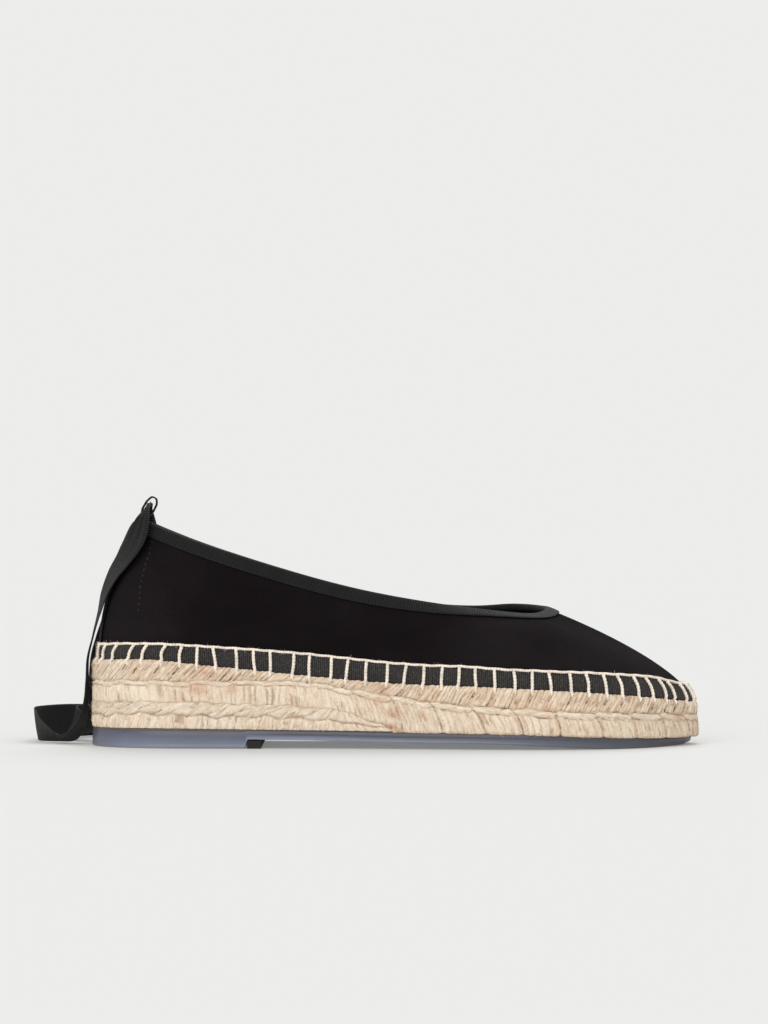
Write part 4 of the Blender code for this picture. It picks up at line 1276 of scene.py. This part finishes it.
def lining():
    """Plain woven lining in a dark warm grey."""
    material, shader = new_material("woven_lining", 0.85, Sheen_Weight=0.1, Specular_IOR_Level=0.15)
    place = here(shader)
    warp, weft = [
        add_node(shader.id_data, "ShaderNodeTexWave", {
            "Vector": place, "Scale": 360.0, "Distortion": 0.4}, bands_direction=way).outputs["Fac"]
        for way in ("X", "Z")]
    cloth = times(warp, weft)
    tone = tone_of(cloth, ((0.0, (0.015, 0.014, 0.013)), (1.0, (0.038, 0.036, 0.034))))
    paint(shader, tone, cloth, 0.12 * MM, 0.6)
    return material


upper = rounded_copy("upper", "suede_upper", suede())
upper.data.materials.append(lining())
centres = np.array([p.center for p in upper.data.polygons])
normals = np.array([p.normal for p in upper.data.polygons])
spine = np.clip(centres, np.array(SPINE_FROM) * MM, np.array(SPINE_TO) * MM)
inside = np.sum((centres - spine) * normals, axis=1) < 0
upper.data.polygons.foreach_set("material_index", inside.astype(np.int32))
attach(upper, "root")
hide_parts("upper")


# ---------------------------------------------------------------- counter seams
# A row of short stitches each side of the heel, where the counter is sewn in.

COUNTER_STITCH = {"Pitch": 2.4 * MM, "Stitch": 1.6 * MM, "Radius": 0.17 * MM}
COUNTER_POINTS = 60
COUNTER_RAY_START = 80.0     # out from the middle line, clear of the shoe
COUNTER_SEAM = (
    # x, height, from under the binding down to the band
    (-102.6, 86.0),
    (-104.0, 80.3),
    (-105.7, 75.0),
    (-107.2, 67.7),
    (-107.9, 57.6),
)


def stitch_tree(material):
    """Short bowed stitches, end to end along a line, each dipping in at both ends."""
    tree, given = new_tree("short_stitches", "Pitch", "Stitch", "Radius")
    radius = given["Radius"]
    half = times(given["Stitch"], 0.5)
    sunk = times(radius, -1.6)
    stitch = bent_thread(
        vector(tree, x=sunk, z=times(half, -1.0)), vector(tree, x=times(radius, 2.2)),
        vector(tree, x=sunk, z=half), 6, 6, radius)
    route = add_node(tree, "GeometryNodeMeshToCurve", {"Mesh": given["Geometry"]})
    spots = add_node(tree, "GeometryNodeCurveToPoints", {
        "Curve": route.outputs[0], "Length": given["Pitch"]}, mode="LENGTH").outputs
    pose = aimed(spots["Rotation"], named_value(tree, "outward", "FLOAT_VECTOR"), "X", "Z")
    uneven = drawn(tree, (0.5, 0.8, 0.45), (1.1, 1.2, 1.1), 7)
    return copied_to(spots, stitch, pose, uneven, material)


def along_lines(tree, runs, sizes, name, outwards=None, cyclic=False):
    """What a tree grows on lines of points; each point may be given an outward way."""
    edges = []
    first = 0
    for run in runs:
        edges += [(first + k, first + k + 1) for k in range(len(run) - 1)]
        if cyclic:
            edges.append((first + len(run) - 1, first))
        first += len(run)
    mesh = bpy.data.meshes.new(name)
    mesh.from_pydata([tuple(p) for p in np.concatenate(runs)], edges, [])
    lines = placed(name + "_lines", mesh)
    if outwards is not None:
        give_points(lines, "outward", np.concatenate(outwards), "FLOAT_VECTOR")
    piece = grown(lines, tree, sizes, name)
    bpy.data.objects.remove(lines)
    return piece


upper_skin = faces_of(upper)
seam = np.array(COUNTER_SEAM) * MM
seam_level = np.linspace(seam[0, 1], seam[-1, 1], COUNTER_POINTS)
seam_x = np.interp(seam_level, seam[::-1, 1], seam[::-1, 0])
runs = []
ways = []
for side in (-1.0, 1.0):
    hits = [upper_skin.ray_cast(Vector((px, side * COUNTER_RAY_START * MM, pz)), Vector((0.0, -side, 0.0)))
            for px, pz in zip(seam_x, seam_level)]
    runs.append(np.array([hit[0] for hit in hits]))
    ways.append(np.array([hit[1] for hit in hits]))
counter_thread = thread_material("counter_thread", (0.036, 0.034, 0.038), 0.8)
counter = along_lines(stitch_tree(counter_thread), runs, COUNTER_STITCH, "counter_stitches", ways)
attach(counter, "root")


# ---------------------------------------------------------------- foxing band
# Black rib-woven tape, stitched round the foot of the upper on the edge of the jute. Its
# ribs stand upright, and fan out where the tape leans in over the toe.

BAND_ROWS = 16
BAND_THICKNESS = 0.9
BAND_COLOUR = (0.0275, 0.0264, 0.0260)
BAND_RIB = 0.85              # from one rib to the next
BAND_PROBE = 0.15            # step of the search for the band's top and foot
BAND_HALF_HEIGHT = 4.0       # where that search starts, above the edge of the jute
BAND_RAY = (12.0, 26.0)      # how far out a ray starts, and how far it goes
BAND_SHORT = 0.35            # how far the tape stops short of the solid's top
BAND_SHORT_TOE = 1.2         # and how much farther at the toe
BAND_SHORT_FOOT = 0.3        # and how far short of its foot
BAND_HEM = 0.35              # how far the tape's foot goes on down
EDGE_SOFTNESS = 6            # in columns
FACE_SOFTNESS = 5
BAND_UV_HEIGHT = 9.0
BAND_ROLL = (
    # up and inwards from the last row, to roll the tape's top edge
    (0.30, 0.12),
    (0.48, 0.50),
    (0.40, 0.95),
)

band_tree = faces_of(nodes["foxing_band"])
ledge = jute_top(sole_plan[:, 0])


def band_hit(column, level):
    """The band's outer face at a height, seen square to the sole's edge, or nothing."""
    way = Vector((*-sole_out[column], 0.0))
    start = Vector((*sole_plan[column], level)) - BAND_RAY[0] * MM * way
    return band_tree.ray_cast(start, way, BAND_RAY[1] * MM)[0]


def band_edge(step):
    """The last heights at which the band is there, going up or down from its middle."""
    edge = ledge + BAND_HALF_HEIGHT * MM
    for column in range(AROUND):
        while band_hit(column, edge[column] + step) is not None:
            edge[column] += step
    return soften(edge, EDGE_SOFTNESS)


band_short = BAND_SHORT + BAND_SHORT_TOE * ease(108.0, 124.0, sole_x)
band_high = band_edge(BAND_PROBE * MM) - band_short * MM
band_low = band_edge(-BAND_PROBE * MM) + BAND_SHORT_FOOT * MM
band_face = np.zeros((BAND_ROWS, AROUND, 3))
for row, share in enumerate(np.linspace(0.0, 1.0, BAND_ROWS)):
    for column, level in enumerate(band_low + share * (band_high - band_low)):
        band_face[row, column] = band_hit(column, level)
    band_face[row] = soften(band_face[row], FACE_SOFTNESS)
band_run = np.roll(band_face, -1, axis=1) - np.roll(band_face, 1, axis=1)
band_rise = np.gradient(band_face, axis=0)
band_normal = unit(np.cross(band_run, band_rise))

band_rings = [band_face[0] - BAND_HEM * MM * np.array([0.0, 0.0, 1.0]), *band_face]
last_rise = unit(band_rise[-1])
for up, inward in BAND_ROLL:
    band_rings.append(band_face[-1] + up * MM * last_rise - inward * MM * band_normal[-1])
for row in (BAND_ROWS - 1, BAND_ROWS // 2, 0):
    band_rings.append(band_face[row] - BAND_THICKNESS * MM * band_normal[row])
foxing = mesh_piece(
    "foxing_tape", np.concatenate(band_rings), grid_faces(len(band_rings), AROUND, close_rows=True),
    grosgrain("foxing_ribs", BAND_COLOUR, BAND_RIB, 90.0, 91.0, 0.32))
band_across = np.linspace(0, BAND_UV_HEIGHT * MM, len(band_rings))
lay_uv(foxing, np.tile(sole_at, len(band_rings)) * MM, np.repeat(band_across, AROUND), sole_round * MM)
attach(foxing, "root")
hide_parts("foxing_band")


# ---------------------------------------------------------------- blanket stitch
# Thick cream cotton cord of two plies: a running line along the top of the band, and a leg
# from it over the band at every stitch, which is pulled down into the edge of the jute.

LEG_CORD = {"Ply radius": 0.46 * MM, "Turn": 2.8 * MM, "Step": 0.45 * MM}
LINE_CORD = {"Ply radius": 0.37 * MM, "Turn": 2.6 * MM, "Step": 0.45 * MM}
COTTON_FUZZ = {"Density": 330000.0, "Length": 1.2 * MM, "Radius": 0.035 * MM, "Seed": 53}
LEG_PROUD = 0.60             # from the band's face to the middle of a leg
LEG_UNEVEN = 0.5
BOW_UNEVEN = 0.25
LEG_LEAN = (
    # x, how far the top of a leg is ahead of its foot, how far its middle bows ahead
    (-129.0, 2.6, -0.9),
    (-100.0, 2.4, -0.9),
    (-90.0, 0.7, -0.5),
    (-75.0, -0.9, 0.0),
    (-55.0, 0.0, 0.0),
    (-20.0, 0.9, 0.1),
    (10.0, 0.6, -0.1),
    (40.0, -0.2, 0.0),
    (70.0, -0.8, 0.3),
    (95.0, -1.8, 0.6),
    (110.0, -2.8, 0.8),
    (129.0, -2.6, 0.6),
)
LINE_UP = 0.45               # the running line, from the band's last row of points
LINE_OUT = 0.42
LEG_FOOT = (
    # out from the edge of the jute, up from it: where a leg leaves the band and dives in
    (-1.1, 0.55),
    (-0.05, -0.35),
    (-0.15, -1.2),
    (-1.2, -2.3),
)


def vector_maths(operation, inputs):
    """A Vector Math node in the tree of its first input."""
    return add_node(inputs[0].id_data, "ShaderNodeVectorMath", inputs, operation=operation).outputs[0]


def cord_tree(material):
    """Two plies wound round each other along every line."""
    tree, given = new_tree("two_ply_cord", "Ply radius", "Turn", "Step")
    route = add_node(tree, "GeometryNodeMeshToCurve", {"Mesh": given["Geometry"]})
    even = add_node(tree, "GeometryNodeResampleCurve", {
        "Curve": route.outputs[0], "Length": given["Step"]}, mode="LENGTH")
    along = add_node(tree, "GeometryNodeSplineParameter").outputs["Length"]
    turn = times(maths("DIVIDE", along, given["Turn"]), 2 * math.pi)
    normal = add_node(tree, "GeometryNodeInputNormal").outputs[0]
    tangent = add_node(tree, "GeometryNodeInputTangent").outputs[0]
    cross = vector_maths("CROSS_PRODUCT", {0: tangent, 1: normal})
    reach = times(given["Ply radius"], 0.66)
    joined = add_node(tree, "GeometryNodeJoinGeometry")
    for phase in (0.0, math.pi):
        angle = maths("ADD", turn, phase)
        sideways = vector_maths("SCALE", {0: normal, "Scale": maths("COSINE", angle)})
        upright = vector_maths("SCALE", {0: cross, "Scale": maths("SINE", angle)})
        both = vector_maths("ADD", {0: sideways, 1: upright})
        offset = vector_maths("SCALE", {0: both, "Scale": reach})
        moved = add_node(tree, "GeometryNodeSetPosition", {"Geometry": even.outputs[0], "Offset": offset})
        tree.links.new(tube(moved.outputs[0], 7, given["Ply radius"]), joined.inputs[0])
    return end_tree(joined.outputs[0], material)


def band_spot(row, column):
    """The band's face and outward way at a row, between two columns."""
    low = int(math.floor(column)) % AROUND
    share = column - math.floor(column)
    place = (1 - share) * band_face[row, low] + share * band_face[row, (low + 1) % AROUND]
    return place, band_normal[row, low]


cotton = thread_material("cream_cotton", (0.90, 0.80, 0.69), 0.9)
plies = cord_tree(cotton)
rng = np.random.default_rng(54)
lean_table = np.array(LEG_LEAN)
per_mm = AROUND / sole_round
legs = []
for place_along in stitch_at:
    spot = place_along * per_mm
    column = int(round(spot)) % AROUND
    ahead = 1.0 if outer_side[column] else -1.0
    lean, bow = [np.interp(sole_x[column], lean_table[:, 0], lean_table[:, k]) for k in (1, 2)]
    lean += rng.uniform(-LEG_UNEVEN, LEG_UNEVEN)
    bow += rng.uniform(-BOW_UNEVEN, BOW_UNEVEN)
    points = []
    for row in range(BAND_ROWS - 1, -1, -1):
        share = row / (BAND_ROWS - 1)
        shift = lean * share + bow * math.sin(math.pi * share)
        place, normal = band_spot(row, spot + ahead * shift * per_mm)
        points.append(place + LEG_PROUD * MM * normal)
    edge = np.array([*sole_plan[column], ledge[column]])
    for out, up in LEG_FOOT:
        points.append(edge + np.array([*(out * sole_out[column]), up]) * MM)
    legs.append(np.array(points))
leg_cords = along_lines(plies, legs, LEG_CORD, "blanket_stitches")
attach(leg_cords, "root")

columns = np.arange(AROUND)
sag = 0.10 * np.cos(2 * math.pi * columns * STITCH_COUNT / AROUND) + 0.12 * wander(52, 30.0, columns, AROUND)
purl = band_face[-1] + MM * ((LINE_UP + sag)[:, None] * last_rise + LINE_OUT * band_normal[-1])
purl_cord = along_lines(plies, [purl[::2]], LINE_CORD, "running_stitch", cyclic=True)
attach(purl_cord, "root")

give_points(purl_cord, "shed", np.ones(len(purl_cord.data.vertices)))
purl_fuzz = grown(purl_cord, fibre_tree(cotton), COTTON_FUZZ, "cotton_fuzz")
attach(purl_fuzz, "root")


# ---------------------------------------------------------------- topline binding
# Ribbed ribbon folded over the collar and sewn through, from one side of the back strip
# round the throat to the other. Its ribs stand square to the edge of the collar.

BINDING_COLOUR = (0.0096, 0.0089, 0.0088)
BINDING_RIB = 0.95           # from one rib to the next
RIDGE_POINTS = 60
RIDGE_SOFTNESS = 6
COLLAR_POINTS = 900


def collar_line():
    """The ridge of the binding, as a closed line of evenly spread points."""
    points = np.array([v.co for v in nodes["topline_binding"].data.vertices])
    low, high = [np.array(corner)[:2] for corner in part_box("topline_binding")]
    middle = np.array([(low[0] + high[0]) / 2, 0.0])
    across, ahead = ((points[:, :2] - middle) / (high - low)).T[::-1]
    turn = np.arctan2(across, ahead)
    ridge = []
    for k in range(RIDGE_POINTS):
        away = np.angle(np.exp(1j * (turn - (k + 0.5) * 2 * math.pi / RIDGE_POINTS)))
        near = np.abs(away) < math.pi / RIDGE_POINTS
        if near.any():
            ridge.append(max(points[near], key=lambda point: point[2]))
    line, at, total = spread_evenly(np.array(ridge), COLLAR_POINTS)
    return soften(line, RIDGE_SOFTNESS), at, total


def uv_from_line(piece, line, at, total):
    """U is the distance along a closed line of the place nearest to a point, V how far off it is."""
    finder = KDTree(len(line))
    for k, place in enumerate(line):
        finder.insert(place, k)
    finder.balance()
    nearest = [finder.find(v.co) for v in piece.data.vertices]
    lay_uv(piece, at[[hit[1] for hit in nearest]], np.array([hit[2] for hit in nearest]), total)


binding = rounded_copy("topline_binding", "collar_binding", grosgrain(
    "binding_ribs", BINDING_COLOUR, BINDING_RIB, 5.4, 6.4))
uv_from_line(binding, *collar_line())
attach(binding, "root")
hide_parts("topline_binding")


# ---------------------------------------------------------------- back strip and loop
# Tape down the heel seam, over the collar and a little way inside, and a narrow strap loop
# sewn on top of it that carries the ankle ribbon.

TAPE_RIB = 0.9               # from one rib to the next
LOOP_STEPS = 72
LOOP_MIDDLE = (0.6, 0.4)     # ahead of and above the middle of the loop's box
LOOP_SOFTNESS = 1.4
LOOP_SKIN = 0.2              # where the ray for the outer face starts, past the inner one
LOOP_SECTION = (
    # across, out: shares of half the width and of the thickness
    (-1.0, 0.3),
    (-0.85, 0.05),
    (0.0, 0.0),
    (0.85, 0.05),
    (1.0, 0.3),
    (1.0, 0.7),
    (0.85, 0.95),
    (0.0, 1.0),
    (-0.85, 0.95),
    (-1.0, 0.7),
)


def tape():
    """Close-woven black tape with ribs across it, painted a little darker between them as shade."""
    material, shader = new_material("heel_tape", 0.8, Sheen_Weight=0.15, Specular_IOR_Level=0.15)
    place = here(shader)
    rib = maths("SINE", times(axes(place)["Z"], 2 * math.pi / (TAPE_RIB * MM)))
    # painted shade between the ribs, over random tone
    tone = summed((rib, 0.16), (noise(place, 700.0, 3.0), 1.0))
    colour = tone_of(tone, ((0.3, (0.008, 0.0075, 0.0075)), (0.75, (0.030, 0.028, 0.027))))
    paint(shader, colour, tone, 0.25 * MM, 0.7)
    return material


heel_tape = tape()
back_strip = rounded_copy("back_strip", "heel_strip", heel_tape)
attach(back_strip, "root")
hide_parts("back_strip")

loop_low, loop_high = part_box("ribbon_loop")
loop_faces = faces_of(nodes["ribbon_loop"])
loop_middle = Vector((
    (loop_low.x + loop_high.x) / 2 + LOOP_MIDDLE[0] * MM,
    0.0,
    (loop_low.z + loop_high.z) / 2 + LOOP_MIDDLE[1] * MM,
))
near = []
far = []
for turn in np.arange(LOOP_STEPS) * 2 * math.pi / LOOP_STEPS:
    way = Vector((math.cos(turn), 0.0, math.sin(turn)))
    near.append(loop_faces.ray_cast(loop_middle, way)[0])
    far.append(loop_faces.ray_cast(near[-1] + LOOP_SKIN * MM * way, way)[0])
near = soften(np.array(near), LOOP_SOFTNESS)
far = soften(np.array(far), LOOP_SOFTNESS)
half_width = (loop_high.y - loop_low.y) / 2
loop_points = []
for inner, outer in zip(near, far):
    for across, out in LOOP_SECTION:
        loop_points.append(inner + out * (outer - inner) + np.array([0.0, across * half_width, 0.0]))
strap_loop = mesh_piece("strap_loop", loop_points, grid_faces(
    LOOP_STEPS, len(LOOP_SECTION), close_rows=True), heel_tape)
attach(strap_loop, "root")
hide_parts("ribbon_loop")


# ---------------------------------------------------------------- floor and light
# A pale table that runs into a background of its own brightness, under a wide soft sky, a
# broad light from the front and one from behind, which leaves a soft shadow before the shoe.
# The table also glows a little of itself, painted light that lightens the shadows on it.

FLOOR_REACH = 14.0
FLOOR_COLOUR = (0.530, 0.535, 0.525)
# painted light: the floor's own glow, which lightens every shadow on it
FLOOR_GLOW = (0.170, 0.171, 0.167)
SKY = 0.62
BROAD_LIGHTS = (
    # name, strength, tilt from straight down towards the back, turn, spread in degrees
    ("key", 1.55, 58.0, -20.0, 50.0),
    ("back", 1.55, -38.0, -12.0, 44.0),
)

floor_mesh = bpy.data.meshes.new("floor")
floor_mesh.from_pydata(
    [(x * FLOOR_REACH, y * FLOOR_REACH, 0) for x, y in ((-1, -1), (1, -1), (1, 1), (-1, 1))],
    [], [(0, 1, 2, 3)])
floor_mesh.materials.append(new_material(
    "pale_floor", 1.0, Base_Color=(*FLOOR_COLOUR, 1.0), Specular_IOR_Level=0.0,
    Emission_Color=(*FLOOR_GLOW, 1.0), Emission_Strength=1.0)[0])
placed("floor", floor_mesh)

floor_light = SKY
for name, strength, tilt, turn, spread in BROAD_LIGHTS:
    lamp = bpy.data.lights.new(name, "SUN")
    lamp.energy = strength
    lamp.angle = math.radians(spread)
    placed(name, lamp).rotation_euler = (math.radians(tilt), 0.0, math.radians(turn))
    floor_light += strength * math.cos(math.radians(tilt)) / math.pi

world = bpy.data.worlds.new("soft_sky")
world.use_nodes = True
sky = world.node_tree
backdrop = sky.nodes["Background"]
backdrop.inputs["Color"].default_value = (1.0, 1.0, 1.0, 1.0)
backdrop.inputs["Strength"].default_value = SKY
floor_seen = [colour * floor_light + glow for colour, glow in zip(FLOOR_COLOUR, FLOOR_GLOW)]
seen = add_node(sky, "ShaderNodeBackground", {"Color": (*floor_seen, 1.0), "Strength": 1.0})
path = add_node(sky, "ShaderNodeLightPath")
either = add_node(sky, "ShaderNodeMixShader", {
    0: path.outputs["Is Camera Ray"], 1: backdrop.outputs[0], 2: seen.outputs[0]})
sky.links.new(either.outputs[0], sky.nodes["World Output"].inputs["Surface"])
bpy.context.scene.world = world
